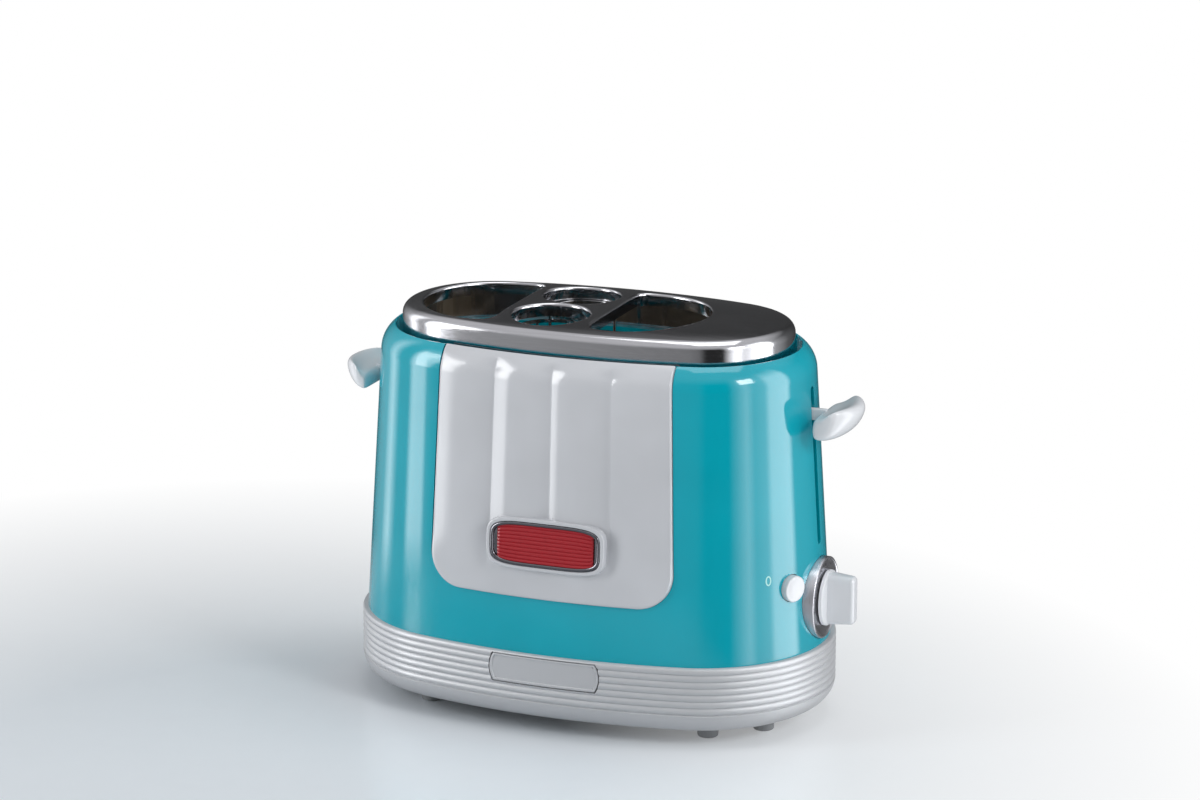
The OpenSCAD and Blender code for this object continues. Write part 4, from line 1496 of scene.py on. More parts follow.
@dataclass
class Badge:
    """A blank ribbed plate in a dark bezel, inside a raised pale surround."""

    width: float = 62.0
    height: float = 23.6
    power: float = 4.6
    middle_z: float = 105.0
    surround_w: float = 2.3
    surround_out: float = 3.2
    bezel_out: float = 3.4
    bezel_round: Point = (0.85, 0.7)
    plate_half: float = 27.2
    plate_w: float = 0.9
    plate_out: float = 2.7
    ribs: int = 10
    rib_h: float = 0.6
    rib_steps: int = 8
    plate_steps: int = 60
    plate_t: float = 1.4
    count: int = 96

    def seat(self) -> Matrix:
        """Turns the badge's own plane onto the leaning wall, with its face outwards.

        Returns:
            The matrix, in metres.
        """
        (inward, _), _ = WALL.path(0, self.middle_z)
        middle = Vector((0, -PLAN.width / 2 - inward, self.middle_z)) * MM
        return Matrix.Translation(middle) @ Matrix.Rotation(pi / 2 - WALL.draft, 4, "X")

    def outline(self, grow: float) -> list[Point]:
        """The barrel outline grown by a margin.

        Args:
            grow: How far the outline is moved out, in millimetres.

        Returns:
            The points in millimetres, in order.
        """
        a, b = self.width / 2 + grow, self.height / 2 + grow
        points = []
        for i in range(self.count):
            t = 2 * pi * i / self.count
            c, s = cos(t), sin(t)
            r = (abs(c) ** self.power + abs(s) ** self.power) ** (-1 / self.power)
            points.append((a * r * c, b * r * s))
        return points

    def ring(self, name: str, sections: Sequence[tuple[float, float]]) -> Piece:
        """Sweep a closed section around the outline.

        Args:
            name: Name of the new object.
            sections: Pairs of growth and height out of the wall, the first one repeated last.

        Returns:
            The ring, in its seat.
        """
        loops = [self.outline(grow) for grow, _ in sections]
        last = len(sections) - 1

        def place(u: float, v: float) -> Vector:
            """A point of the ring, in the badge's own plane.

            Args:
                u: Share along the first side.
                v: Share along the second side.

            Returns:
                The point in millimetres.
            """
            row = round(v * last)
            x, y = loops[row][round(u * self.count) % self.count]
            return Vector((x, y, sections[row][1]))

        piece = closed_grid(name, self.count, last, place)
        piece.data.transform(self.seat())
        return piece

    def surround(self) -> Piece:
        """Raised pale frame that belongs to the panel.

        Returns:
            The frame.
        """
        w, h = self.surround_w, self.surround_out
        round_edge = [
            (w - 0.9 * (1 - cos(a)), h - 0.9 * (1 - sin(a))) for a in (i * pi / 16 for i in range(9))
        ]
        section = [(w + 0.25, -1.0)] + round_edge + [(0.7, h), (0.35, h - 0.15), (0.2, h - 0.5), (0.2, -1.0)]
        return self.ring("badge_surround", section + section[:1])

    def bezel(self) -> Piece:
        """Dark chrome frame with a rounded top.

        Returns:
            The bezel.
        """
        wide, tall = self.bezel_round
        top = [
            (wide * (cos(a) - 1), self.bezel_out - tall + tall * sin(a))
            for a in (i * pi / 10 for i in range(11))
        ]
        section = [(0.0, 0.0)] + top + [(-1.9, 1.6), (-4.5, 1.2), (-4.5, 0.0)]
        return smooth(self.ring("badge_frame", section + section[:1]), radians(50))

    def plate(self) -> Piece:
        """Ribbed plate with straight ends and gently bowed long edges.

        Returns:
            The plate.
        """
        columns, rows = self.plate_steps, self.ribs * self.rib_steps
        bound = self.height / 2 - self.plate_w - 0.25

        def limit(x: float) -> float:
            """Half height of the plate at a place across it."""
            share = min(abs(x) / (self.width / 2), 1.0)
            return bound * (1 - share**self.power) ** (1 / self.power)

        def place(u: float, v: float) -> Vector:
            """A point of the ribbed face.

            Args:
                u: Share along the first side.
                v: Share along the second side.

            Returns:
                The point in millimetres.
            """
            x = (2 * u - 1) * self.plate_half
            y = (2 * v - 1) * limit(x)
            wave = abs(sin(pi * self.ribs * v))
            edge = min(u, 1 - u) * 2 * self.plate_half
            lift = self.rib_h * wave * ease(edge, 0.0, 0.8)
            return Vector((x, y, self.plate_out - self.rib_h + lift))

        piece = grid("badge_plate_red", columns, rows, place)
        modify(piece, "SOLIDIFY", thickness=self.plate_t * MM, offset=-1.0)
        piece.data.transform(self.seat())
        return smooth(piece, radians(60))

    def dress(self) -> None:
        """Build the bezel and the plate and finish them."""
        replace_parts(dress(self.bezel(), CHROME), "badge_bezel")
        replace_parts(dress(self.plate(), BADGE_RED), "badge_plate")


# ---- Base ----


@dataclass
class Base:
    """Silver base: seven ribs above a rounded bowl, a blank plate in front, six feet below."""

    out: float = 3.0
    ribs: int = 7
    pitch: float = 3.65
    rib_out: float = 0.9
    wall: float = 2.5
    under_z: float = 8.5
    flange: float = 6.0
    shelf: float = 9.0
    shelf_t: float = 2.0
    rib_steps: int = 8
    bowl_steps: int = 12
    plate_w: float = 62.0
    plate_h: float = 15.0
    plate_bow: float = 2.2
    plate_edge: float = 1.1
    plate_t: float = 1.6
    plate_sunk: float = 0.35
    seat_gap: float = 0.55
    tray_gap: float = 0.3
    tray_y: float = 58.0
    gland_r: float = 6.6
    gland_reach: float = 20.0
    foot_r: float = 5.5
    foot_top: float = 12.0
    foot_flare: float = 1.16
    foot_spots: tuple[Point, ...] = ((80, 43), (80, -43), (-80, 43), (-80, -43), (104, 22), (104, -22))

    @property
    def bowl_z(self) -> float:
        """Height at which the ribs end and the bowl begins."""
        return WALL.foot_z - self.ribs * self.pitch

    @property
    def bowl_r(self) -> float:
        """Radius of the bowl."""
        return self.bowl_z - self.under_z

    @property
    def plate_z(self) -> float:
        """Height of the middle of the front plate."""
        return WALL.foot_z - 1.5 - self.plate_h / 2

    def rib_line(self, index: int) -> list[Point]:
        """Bulging face of one rib, from its top down, without its last point.

        Args:
            index: Number of the rib, 0 at the top.

        Returns:
            The points in millimetres, in order.
        """
        r = ((self.pitch / 2) ** 2 + self.rib_out**2) / (2 * self.rib_out)
        reach = asin(self.pitch / 2 / r)
        middle = (self.out - r, WALL.foot_z - self.pitch * (index + 0.5))
        return arc(middle, r, reach, -reach, self.rib_steps)[:-1]

    def profile(self) -> list[Point]:
        """Closed profile of the base's wall with its shelf and flange.

        Returns:
            The points in millimetres, in order.
        """
        inner = self.out - self.rib_out - self.wall
        bowl_x = self.out - self.bowl_r
        floor_in = -(self.bowl_r - self.out + self.flange)
        points: list[Point] = []
        for index in range(self.ribs):
            points += self.rib_line(index)
        points += [(self.out - self.rib_out, self.bowl_z)]
        points += arc((bowl_x, self.bowl_z), self.bowl_r, -0.05, -pi / 2, self.bowl_steps)
        points += [(floor_in, self.under_z), (floor_in, self.under_z + 2), (bowl_x, self.under_z + 2)]
        points += arc((bowl_x, self.bowl_z), inner - bowl_x, -pi / 2 + 0.3, 0, self.bowl_steps)
        points += [(inner, WALL.foot_z - self.shelf_t), (-self.shelf, WALL.foot_z - self.shelf_t)]
        points += [(-self.shelf, WALL.foot_z), (self.out - self.rib_out, WALL.foot_z)]
        return points + points[:1]

    def plate_line(self, grow: float) -> list[Point]:
        """Outline of the front plate: straight long edges and gently bowed ends.

        Args:
            grow: How far the outline is moved out, in millimetres.

        Returns:
            The points in millimetres, in order.
        """
        half_w, half_h = self.plate_w / 2 + grow, self.plate_h / 2 + grow
        r = (half_h**2 + self.plate_bow**2) / (2 * self.plate_bow)
        reach = asin(half_h / r)
        right = arc((half_w - r, 0), r, -reach, reach, 12)
        left = arc((r - half_w, 0), r, pi - reach, pi + reach, 12)
        return right + left

    def plate_tool(self, grow: float) -> Piece:
        """Prism with the plate's outline that reaches through the front wall."""
        turn = Matrix.Translation(Vector((0, -40, self.plate_z)) * MM) @ Matrix.Rotation(pi / 2, 4, "X")
        return prism("plate_tool", self.plate_line(grow), 60, turn)

    def skirt(self) -> Piece:
        """Sweep the base and cut the plate's seat, the tray's opening and the gland's hole.

        Returns:
            The base moulding.
        """
        skirt = PLAN.sweep("base_moulding", self.profile())
        cut(skirt, self.plate_tool(self.seat_gap))
        low, high = slab("crumb_tray")
        gap = self.tray_gap
        tray_face = Vector((high.x + gap, PLAN.width, WALL.foot_z - self.pitch + gap))
        cut(skirt, bar("tray_tool", Vector((low.x - gap, self.tray_y, low.z - gap)), tray_face))
        inlet = next(m for m in frame["record"]["mounts"] if m["name"] == "cord_inlet")
        axis, middle = Vector(inlet["axis"]), Vector(inlet["pos_m"]) / MM
        half = axis * self.gland_reach
        cut(skirt, rod("gland_tool", middle - half, middle + half, self.gland_r))
        return smooth(skirt, radians(50))

    def plate(self) -> Piece:
        """Blank plate let into the front, with a slim raised border.

        Returns:
            The plate.
        """
        steps, rows = 48, 10

        def place(u: float, v: float) -> Vector:
            """A point of the plate's face.

            Args:
                u: Share along the first side.
                v: Share along the second side.

            Returns:
                The point in millimetres.
            """
            y = (2 * v - 1) * self.plate_h / 2
            r = ((self.plate_h / 2) ** 2 + self.plate_bow**2) / (2 * self.plate_bow)
            half = self.plate_w / 2 - r + sqrt(r**2 - y**2)
            x = (2 * u - 1) * half
            heading = asin(x / (PLAN.face_r + self.out))
            return PLAN.point(heading, self.out - self.plate_sunk, self.plate_z + y)

        plate = grid("front_plate", steps, rows, place)
        modify(plate, "SOLIDIFY", thickness=self.plate_t * MM, offset=-1.0)
        with Bench(plate) as bench:
            bench.outward()
            bench.faces(lambda c, n: n.y < -0.8 and c.y < -(PLAN.width / 2 - 8) * MM)
            bench.inset(self.plate_edge).inset(0.35, -0.45)
        modify(plate, "BEVEL", width=0.25 * MM, segments=2, limit_method="ANGLE", angle_limit=radians(40))
        return smooth(plate, radians(35))

    def feet(self) -> Piece:
        """All six feet: short tapered studs with a rounded sole, copied from one.

        Returns:
            The six feet as one object.
        """
        low, _ = slab("feet")
        radius, top = self.foot_r, self.foot_top
        flare = Vector((self.foot_flare, self.foot_flare, 1))
        studs = []
        for x, y in self.foot_spots:
            stud = rod("foot", Vector((x, y, low.z)), Vector((x, y, top)), radius)
            with Bench(stud) as bench:
                bench.faces(lambda c, n: n.z > 0.9).scale(flare, Vector((x, y, top)) * MM)
                bench.faces(lambda c, n: n.z < -0.9).inset(1.4, 0.0).inset(0.5, -0.4)
                bench.edges(lambda a, b: max(a.z, b.z) < (low.z + 0.2) * MM
                            and hypot(a.x / MM - x, a.y / MM - y) > radius - 0.3)
                bench.bevel(0.8, 3)
            studs.append(stud)
        return smooth(join("feet_studs", studs))

    def dress(self) -> None:
        """Build the base's pieces and finish them."""
        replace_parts(dress(self.skirt(), SILVER), "base_skirt")
        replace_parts(dress(self.plate(), SILVER), "name_plate")
        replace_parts(dress(self.feet(), FOOT), "feet")


# ---- Steel top ----


@dataclass
class SteelTop:
    """Drawn sheet: skirt, rounded edge, crowned border and flat middle, with rolled openings."""

    skirt_in: float = 20.9
    edge_r: float = 6.0
    crown_w: float = 28.0
    crown_r: float = 200.0
    sheet: float = 1.5
    lip: float = 1.5
    collar: float = 7.0
    cook_x: float = -17.5
    bun_r: float = 41.5
    bun_c: float = 38.5
    bun_in: float = 27.0
    bun_corner: float = 7.0
    sausage_r: float = 21.0
    sausage_pitch: float = 45.0

    @property
    def top_z(self) -> float:
        """Height of the flat middle."""
        return slab("steel_top")[1].z

    @property
    def crown_in(self) -> float:
        """Distance in from the outline to where the crown starts."""
        return self.skirt_in + self.edge_r

    @property
    def flat_in(self) -> float:
        """Distance in from the outline to the flat middle."""
        return self.crown_in + self.crown_w

    @property
    def crown_a(self) -> float:
        """Slope of the crown where it meets the rounded edge."""
        return asin(self.crown_w / self.crown_r)

    @property
    def edge_c(self) -> Point:
        """Centre of the rounded edge."""
        return -self.crown_in, self.top_z - self.crown_r * (1 - cos(self.crown_a)) - self.edge_r

    def face(self, inset: float) -> list[Point]:
        """The sheet's face moved in by a distance: skirt, rounded edge, crown.

        Args:
            inset: The distance in millimetres.

        Returns:
            The points in millimetres, in order.
        """
        crown_c = (-self.flat_in, self.top_z - self.crown_r)
        points = line((-self.skirt_in - inset, SHELL.ledge_z), (-self.skirt_in - inset, self.edge_c[1]), 3)
        points += arc(self.edge_c, self.edge_r - inset, 0, pi / 2 - self.crown_a, 10)
        points += arc(crown_c, self.crown_r - inset, pi / 2 - self.crown_a, pi / 2, 8)[1:]
        return points

    def lean(self, out: float, height: float) -> float | None:
        """Angle of the face's normal above the level.

        Args:
            out: Distance out of the outline, in millimetres.
            height: Height in millimetres.

        Returns:
            The angle in radians.
        """
        if out > -self.crown_in:
            return 0.0 if height < self.edge_c[1] else atan2(height - self.edge_c[1], out + self.crown_in)
        if out > -self.flat_in:
            return pi / 2 - asin((out + self.flat_in) / self.crown_r)
        return pi / 2

    def height(self, x: float, y: float) -> float:
        """Height of the face above a point in plan.

        Args:
            x: Place along the length.
            y: Place from front to back.

        Returns:
            The height in millimetres.
        """
        _, out = PLAN.locate(x, y)
        across = max(out + self.flat_in, 0.0)
        return self.top_z - self.crown_r + sqrt(self.crown_r**2 - across**2)

    def bun_line(self, side: int, grow: float) -> list[Point]:
        """Outline of a bun opening: one wide arc, two round corners, one straight side.

        Args:
            side: -1 for the left opening, 1 for the right one.
            grow: How far the outline is moved out.

        Returns:
            The points, in order around the opening.
        """
        r, q = self.bun_r + grow, self.bun_corner + grow
        straight = self.bun_c - self.bun_in
        inner = straight - self.bun_corner
        y = sqrt((self.bun_r - self.bun_corner) ** 2 - inner**2)
        turn = atan2(y, inner)
        points = arc((0, 0), r, turn, 2 * pi - turn, 56)
        points += arc((inner, -y), q, -turn, 0, 8)[1:]
        points += [(straight + grow, -y + 2 * y * i / 12) for i in range(1, 12)]
        points += arc((inner, y), q, 0, turn, 8)[:-1]
        centre = self.cook_x + side * self.bun_c
        flip = [(centre - side * px, py) for px, py in points]
        return flip if side < 0 else flip[::-1]

    def hole_line(self, y: float, grow: float) -> list[Point]:
        """Outline of a round opening for a sausage."""
        return arc((self.cook_x, y), self.sausage_r + grow, 0, 2 * pi, 64)[:-1]

    def outlines(self) -> list[Outline]:
        """The four openings, each as a function of how far it is grown.

        Returns:
            One function for each opening.
        """
        rows = [lambda g, s=s: self.bun_line(s, g) for s in (-1, 1)]
        rows += [
            lambda g, y=y: self.hole_line(y, g) for y in (-self.sausage_pitch / 2, self.sausage_pitch / 2)
        ]
        return rows

    def rolled(self, outline: Outline) -> Piece:
        """Turned-down lip around one opening: a rounded roll, then a short collar.

        Args:
            outline: Gives the outline of the opening, grown by a distance.

        Returns:
            The lip.
        """
        roll = [(self.lip * (1 - sin(a)), -self.lip * (1 - cos(a))) for a in (i * pi / 16 for i in range(9))]
        section = roll + [(0.0, -self.collar), (1.0, -self.collar), (1.0, -self.lip - 0.6)]
        section += [(self.lip, -self.sheet), (self.lip, 0.0)]
        loops = [outline(grow) for grow, _ in section]
        count, last = len(loops[0]), len(section) - 1

        def place(u: float, v: float) -> Vector:
            """A point of the lip.

            Args:
                u: Share along the first side.
                v: Share along the second side.

            Returns:
                The point in millimetres.
            """
            row, index = round(v * last), round(u * count) % count
            x, y = loops[row][index]
            drop = section[row][1]
            return Vector((x, y, self.height(x, y) + drop))

        return smooth(closed_grid("rolled_lip", count, last, place), radians(50))

    def build(self) -> Piece:
        """Sweep the border, close its middle, cut the openings and add their lips.

        Returns:
            The finished top.
        """
        outer, inner = self.face(0), self.face(self.sheet)
        top = PLAN.sweep("steel_lid", outer + inner[::-1] + outer[:1])
        levels = (self.top_z, self.top_z - self.sheet)
        with Bench(top) as bench:
            bench.faces(
                lambda c, n: abs(n.z) < 0.2 and PLAN.locate(c.x / MM, c.y / MM)[1] < 0.05 - self.flat_in
            )
            bpy.ops.mesh.delete(type="FACE")
            for level in levels:
                bench.close(lambda a, b, z=level: all(self.on_ring(p, z) for p in (a, b)))
            bench.outward()
        for outline in self.outlines():
            tool = prism(
                "opening_tool", outline(self.lip), 30, Matrix.Translation((0, 0, (self.top_z - 15) * MM))
            )
            cut(top, tool)
        face_normals(top, lambda p: swept_normal(p, self.lean))
        return join("steel_lid", [top] + [self.rolled(outline) for outline in self.outlines()])

    def on_ring(self, point: Vector, level: float) -> bool:
        """Does a point in metres lie on the ring around the flat middle, at a level?"""
        _, out = PLAN.locate(point.x / MM, point.y / MM)
        return abs(out + self.flat_in) < 0.02 and abs(point.z / MM - level) < 0.02

    def dress(self) -> None:
        """Build the top and finish it."""
        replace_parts(dress(self.build(), TOP_STEEL), "steel_top")


# ---- Levers ----


class End(Enum):
    """The end of the toaster that a lever stands at."""

    RIGHT = 1
    LEFT = -1


@dataclass
class Lever:
    """A stem through the slot and a scooped paddle that sweeps up to its lip."""

    end: End
    node: str
    body: str
    width: float = 41.0
    root_x: float = 127.3
    tip_x: float = 149.2
    under: float = 1.0
    middle_z: float = 170.8
    stem_w: float = 3.6
    stem_h: float = 7.0
    plan_r: float = 26.0
    core_rise: float = 7.0
    core_low: float = 4.6
    scoop: float = 0.7
    pinch: float = 0.45

    def section(self) -> list[Point]:
        """Side view of the paddle, as a cage: under side outwards, then back over the scoop.

        Returns:
            Share of the reach and height of each point of the cage.
        """
        cage = [(0.0, -8.2), (0.1, -10.2), (0.32, -10.9), (0.62, -9.4), (0.86, -5.2), (1.0, 0.4), (1.04, 4.6),
                (0.97, 7.6), (0.82, 8.1), (0.62, 6.0), (0.4, 3.9), (0.18, 2.6), (0.03, 1.6), (-0.02, -2.0)]
        return [(share, rise * self.under if rise < 0 else rise) for share, rise in cage]

    def paddle(self) -> Piece:
        """Loft the section from one side of the paddle to the other, then smooth the cage.

        Returns:
            The paddle.
        """
        cage = self.section()
        stations = [-1.0, -0.985, -0.9, -0.7, -0.4, 0.0, 0.4, 0.7, 0.9, 0.985, 1.0]
        swell = [0.30, 0.62, 0.86, 0.97, 1.0, 1.0, 1.0, 0.97, 0.86, 0.62, 0.30]
        count, last = len(cage), len(stations) - 1

        def place(u: float, v: float) -> Vector:
            """A point of the cage.

            Args:
                u: Share along the first side.
                v: Share along the second side.

            Returns:
                The point in millimetres.
            """
            row = round(v * last)
            y = stations[row] * self.width / 2
            reach = self.tip_x - self.plan_r - self.root_x + sqrt(self.plan_r**2 - (y * 0.96) ** 2)
            share, rise = cage[round(u * count) % count]
            middle = self.core_rise * share - self.core_low
            along = 0.5 + (share - 0.5) * (self.pinch + (1 - self.pinch) * swell[row])
            scoop = -self.scoop * (1 - (y / (self.width / 2)) ** 2) if rise > 2 and share > 0.3 else 0.0
            height = self.middle_z + middle + (rise - middle) * swell[row] + scoop
            return Vector((self.root_x + along * reach, y, height))

        piece = grid("paddle", count, last, place)
        edge = (self.width / 2 - 0.01) * MM
        with Bench(piece) as bench:
            bench.merge()
            for side in (-1, 1):
                bench.close(lambda a, b, s=side: min(a.y * s, b.y * s) > edge)
            bench.outward()
        return modify(piece, "SUBSURF", levels=3, render_levels=3)

    def stem(self) -> Piece:
        """Flat bar from the slider to inside the paddle.

        Returns:
            The stem.
        """
        low, high = slab(self.node)
        inner = low.x if self.end is End.RIGHT else -high.x
        z0, z1 = self.middle_z - self.stem_h / 2, self.middle_z + self.stem_h / 2 - 0.8
        bar_low = Vector((inner, -self.stem_w / 2, z0))
        piece = bar("stem", bar_low, Vector((self.root_x + 2.5, self.stem_w / 2, z1)))
        return modify(piece, "BEVEL", width=0.5 * MM, segments=2, limit_method="ANGLE")

    def dress(self) -> None:
        """Build the lever at its end and finish it."""
        lever = join(self.node + "_paddle", [self.paddle(), self.stem()])
        if self.end is End.LEFT:
            lever.data.transform(Matrix.Scale(-1, 4, (1, 0, 0)))
            with Bench(lever) as bench:
                bench.outward()
        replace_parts(dress(smooth(lever), WHITE, self.body), self.node)


# ---- Timer dial ----


@dataclass
class Dial:
    """Round silver plate with plain ticks, and a bar knob that turns in front of it."""

    middle_z: float = 70.0
    plate_r: float = 22.0
    gap: float = 0.25
    land: float = 1.1
    knob_r: float = 15.0
    skirt_t: float = 2.0
    grip_h: float = 28.0
    grip_root: float = 12.0
    grip_tip: float = 8.4
    grip_taper: float = 0.93
    grip_round: float = 3.4
    tip_round: float = 2.2
    skirt_round: float = 0.9
    ticks: int = 12
    tick_r: float = 18.3
    tick_w: float = 0.56
    tick_t: float = 0.06
    tick_sunk: float = 0.33
    tick_long: float = 1.6
    tick_short: float = 0.8
    tick_sweep: float = radians(150)
    cut_in: float = 30.0
    cut_out: float = 10.0

    @property
    def face_x(self) -> float:
        """Place of the plate's face along the dial's axis."""
        return slab("dial_plate")[1].x

    def hole_tool(self) -> Piece:
        """Cutter for the plate's hole in the shell.

        Returns:
            The cutter.
        """
        start = Vector((self.face_x - self.cut_in, 0, self.middle_z))
        end = Vector((self.face_x + self.cut_out, 0, self.middle_z))
        return rod("dial_tool", start, end, self.plate_r + self.gap, 96)

    def plate(self) -> Piece:
        """Dished plate with a bright rounded rim.

        Returns:
            The plate.
        """
        low, high = slab("dial_plate")
        middle = self.middle_z
        plate = rod(
            "dial_disc", Vector((low.x, 0, middle)), Vector((high.x - 0.3, 0, middle)), self.plate_r, 96
        )
        with Bench(plate) as bench:
            bench.faces(lambda c, n: n.x > 0.9).inset(self.land, 0.3).inset(0.35, -0.5)
            bench.faces(lambda c, n: n.x < -0.9).inset(1.5).inset(0.01, -8.0)
        modify(plate, "BEVEL", width=0.22 * MM, segments=3, limit_method="ANGLE", angle_limit=radians(35))
        return smooth(plate, radians(30))

    def scale(self) -> Piece:
        """Ring of short ticks printed on the plate's face, every third one longer.

        Returns:
            The ticks as one object.
        """
        marks = []
        start, end = -self.tick_sweep, self.tick_sweep
        x = self.face_x - self.tick_sunk
        for i in range(self.ticks + 1):
            a = start + (end - start) * i / self.ticks
            long = self.tick_long if i % 3 == 0 else self.tick_short
            y, z = self.tick_r * sin(a), self.tick_r * cos(a)
            half, front = self.tick_w / 2, x + self.tick_t
            low, high = Vector((x, -half, -long / 2)), Vector((front, half, long / 2))
            mark = bar("tick", low, high)
            mark.data.transform(Matrix.Rotation(-a, 4, "X"))
            mark.data.transform(Matrix.Translation(Vector((0, y, self.middle_z + z)) * MM))
            marks.append(mark)
        return join("dial_ticks", marks)

    def knob(self) -> Piece:
        """Round skirt with a tall grip that narrows towards its outer end.

        Returns:
            The knob.
        """
        low, high = slab("timer_knob")
        root, tip, z = low.x, high.x, self.middle_z
        skirt = rod("skirt", Vector((root, 0, z)), Vector((root + self.skirt_t, 0, z)), self.knob_r, 96)
        with Bench(skirt) as bench:
            bench.edges(lambda a, b: min(a.x, b.x) > (root + self.skirt_t - 0.1) * MM).bevel(self.skirt_round, 4)
        grip = bar("grip", Vector((root + 0.6, -self.grip_root / 2, z - self.grip_h / 2)),
                   Vector((tip, self.grip_root / 2, z + self.grip_h / 2)))
        with Bench(grip) as bench:
            centre = Vector((tip, 0, z)) * MM
            bench.faces(lambda c, n: n.x > 0.9)
            bench.scale(Vector((1, self.grip_tip / self.grip_root, self.grip_taper)), centre)
            bench.edges(lambda a, b: abs(a.x - b.x) > 5 * MM).bevel(self.grip_round, 6)
            bench.faces(lambda c, n: n.x > 0.9).inset(1.6, 0.3)
        modify(grip, "BEVEL", width=self.tip_round * MM, segments=5, limit_method="ANGLE", angle_limit=radians(50))
        return smooth(join("timer_bar_knob", [skirt, grip]), radians(40))

    def dress(self) -> None:
        """Build the dial's pieces and finish them."""
        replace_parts(dress(self.plate(), DIAL_STEEL), "dial_plate")
        dress(self.scale(), INK)
        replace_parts(dress(self.knob(), WHITE, "timer_dial"), "timer_knob")


# ---- Stop button ----


@dataclass
class Button:
    """Round stop button that faces out of the front corner, with a plain ring printed beside it."""

    radius: float = 7.1
    middle_z: float = 82.7
    heading: float = radians(64.7)
    proud: float = 3.0
    gap: float = 0.35
    mark_heading: float = radians(51.5)
    mark_z: float = 89.4
    mark_half: Point = (1.75, 2.7)
    mark_stroke: float = 0.75
    mark_steps: int = 40
    cap_back: float = 5.3
    flange_at: Point = (5.5, 4.2)
    flange_out: float = 1.5
    pin_at: Point = (20.0, 5.4)
    pin_r: float = 2.5
    cut_reach: float = 12.0

    @property
    def axis(self) -> Vector:
        """Direction that the button faces."""
        return Vector((sin(self.heading), -cos(self.heading), 0))

    @property
    def seat(self) -> Vector:
        """Where the button's axis leaves the shell."""
        (inward, _), _ = WALL.path(0, self.middle_z)
        return PLAN.point(self.heading, inward, self.middle_z)

    def hole_tool(self) -> Piece:
        """Cutter for the button's hole in the shell."""
        half = self.axis * self.cut_reach
        return rod("button_tool", self.seat - half, self.seat + half, self.radius + self.gap, 64)

    def button(self) -> Piece:
        """Cap with a rounded rim and a gently dished face, on its pin.

        Returns:
            The button.
        """
        cap = rod(
            "cap", self.seat - self.axis * self.cap_back, self.seat + self.axis * self.proud, self.radius, 64
        )
        with Bench(cap) as bench:
            bench.faces(lambda c, n: n.dot(self.axis) > 0.9)
            bench.inset(1.0).inset(1.6, -0.18).inset(2.0, -0.1)
            front = (self.seat.dot(self.axis) + self.proud - 0.05) * MM
            bench.edges(lambda a, b: all(p.dot(self.axis) > front and self.rim(p) for p in (a, b)))
            bench.bevel(0.7, 3)
        back, face, pin_back, pin_face = (self.seat - self.axis * d for d in (*self.flange_at, *self.pin_at))
        flange = rod("flange", back, face, self.radius + self.flange_out, 64)
        pin = rod("pin", pin_back, pin_face, self.pin_r, 24)
        return smooth(join("stop_cap", [cap, flange, pin]), radians(40))

    def rim(self, point: Vector) -> bool:
        """Does a point in metres lie on the cap's outer edge?"""
        away = point / MM - self.seat
        return (away - away.dot(self.axis) * self.axis).length > self.radius - 0.1

    def mark(self) -> Piece:
        """Slim printed ring beside the button, laid on the shell.

        Returns:
            The ring.
        """
        half_w, half_h = self.mark_half

        def place(u: float, v: float) -> Vector:
            """A point of the printed ring.

            Args:
                u: Share along the first side.
                v: Share along the second side.

            Returns:
                The point in millimetres.
            """
            a = 2 * pi * u
            grow = -self.mark_stroke * v
            across, up = (half_w + grow) * cos(a), (half_h + grow) * sin(a)
            height = self.mark_z + up
            (inward, _), _ = WALL.path(0, height)
            return PLAN.point(self.mark_heading + across / (PLAN.end_r + inward), inward + 0.03, height)

        piece = closed_grid("stop_mark", self.mark_steps, 2, place)
        return modify(piece, "SOLIDIFY", thickness=0.05 * MM, offset=1.0)

    def dress(self) -> None:
        """Build the button and its printed ring and finish them."""
        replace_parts(dress(self.button(), WHITE, "stop_key"), "stop_button")
        dress(self.mark(), MINT)


# ---- Lift springs ----


@dataclass
class Spring:
    """Pair of helical lift springs on one lift's guide rods."""

    node: str
    joint: str
    turns: int = 15
    coil_r: float = 3.4
    wire_r: float = 0.5
    sides: int = 8
    steps: int = 22
    keep: float = 0.394

    def coil(self, x: float, y: float, low: float, high: float) -> Piece:
        """One closed helix around a rod.

        Args:
            x: Place along the length.
            y: Place from front to back.
            low: Height of its lower end.
            high: Height of its upper end.

        Returns:
            The coil.
        """
        count = self.turns * self.steps
        rise = high - low - 2 * self.wire_r

        def place(u: float, v: float) -> Vector:
            """A point of the wire's skin.

            Args:
                u: Share along the first side.
                v: Share along the second side.

            Returns:
                The point in millimetres.
            """
            a, t = 2 * pi * self.turns * u, 2 * pi * v
            radius = self.coil_r + self.wire_r * cos(t)
            return Vector(
                (
                    x + radius * cos(a), y + radius * sin(a),
                    low + self.wire_r + rise * u + self.wire_r * sin(t),
                )
            )

        piece = grid("coil", count, self.sides, place)
        with Bench(piece) as bench:
            bench.merge()
            for end in (low + self.wire_r, high - self.wire_r):
                bench.close(lambda a, b, z=end: all(self.on_end(p / MM, x, y, z) for p in (a, b)))
            bench.outward()
        return piece

    def on_end(self, point: Vector, x: float, y: float, z: float) -> bool:
        """Does a point belong to the wire's end face at a height?"""
        return point.x > x and abs(point.y - y) < 0.001 and abs(point.z - z) < self.wire_r + 0.01

    def dress(self) -> None:
        """Build both coils, finish them and give the pair a mesh of its own."""
        low, high = slab(self.node)
        x = (low.x + high.x) / 2
        reach = high.y - self.coil_r - self.wire_r
        pair = join(self.node + "_coils", [self.coil(x, side * reach, low.z, high.z) for side in (-1, 1)])
        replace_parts(dress(smooth(pair), WIRE), self.node)
        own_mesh(pair)


# ---- Inner pieces carried over from the frame ----


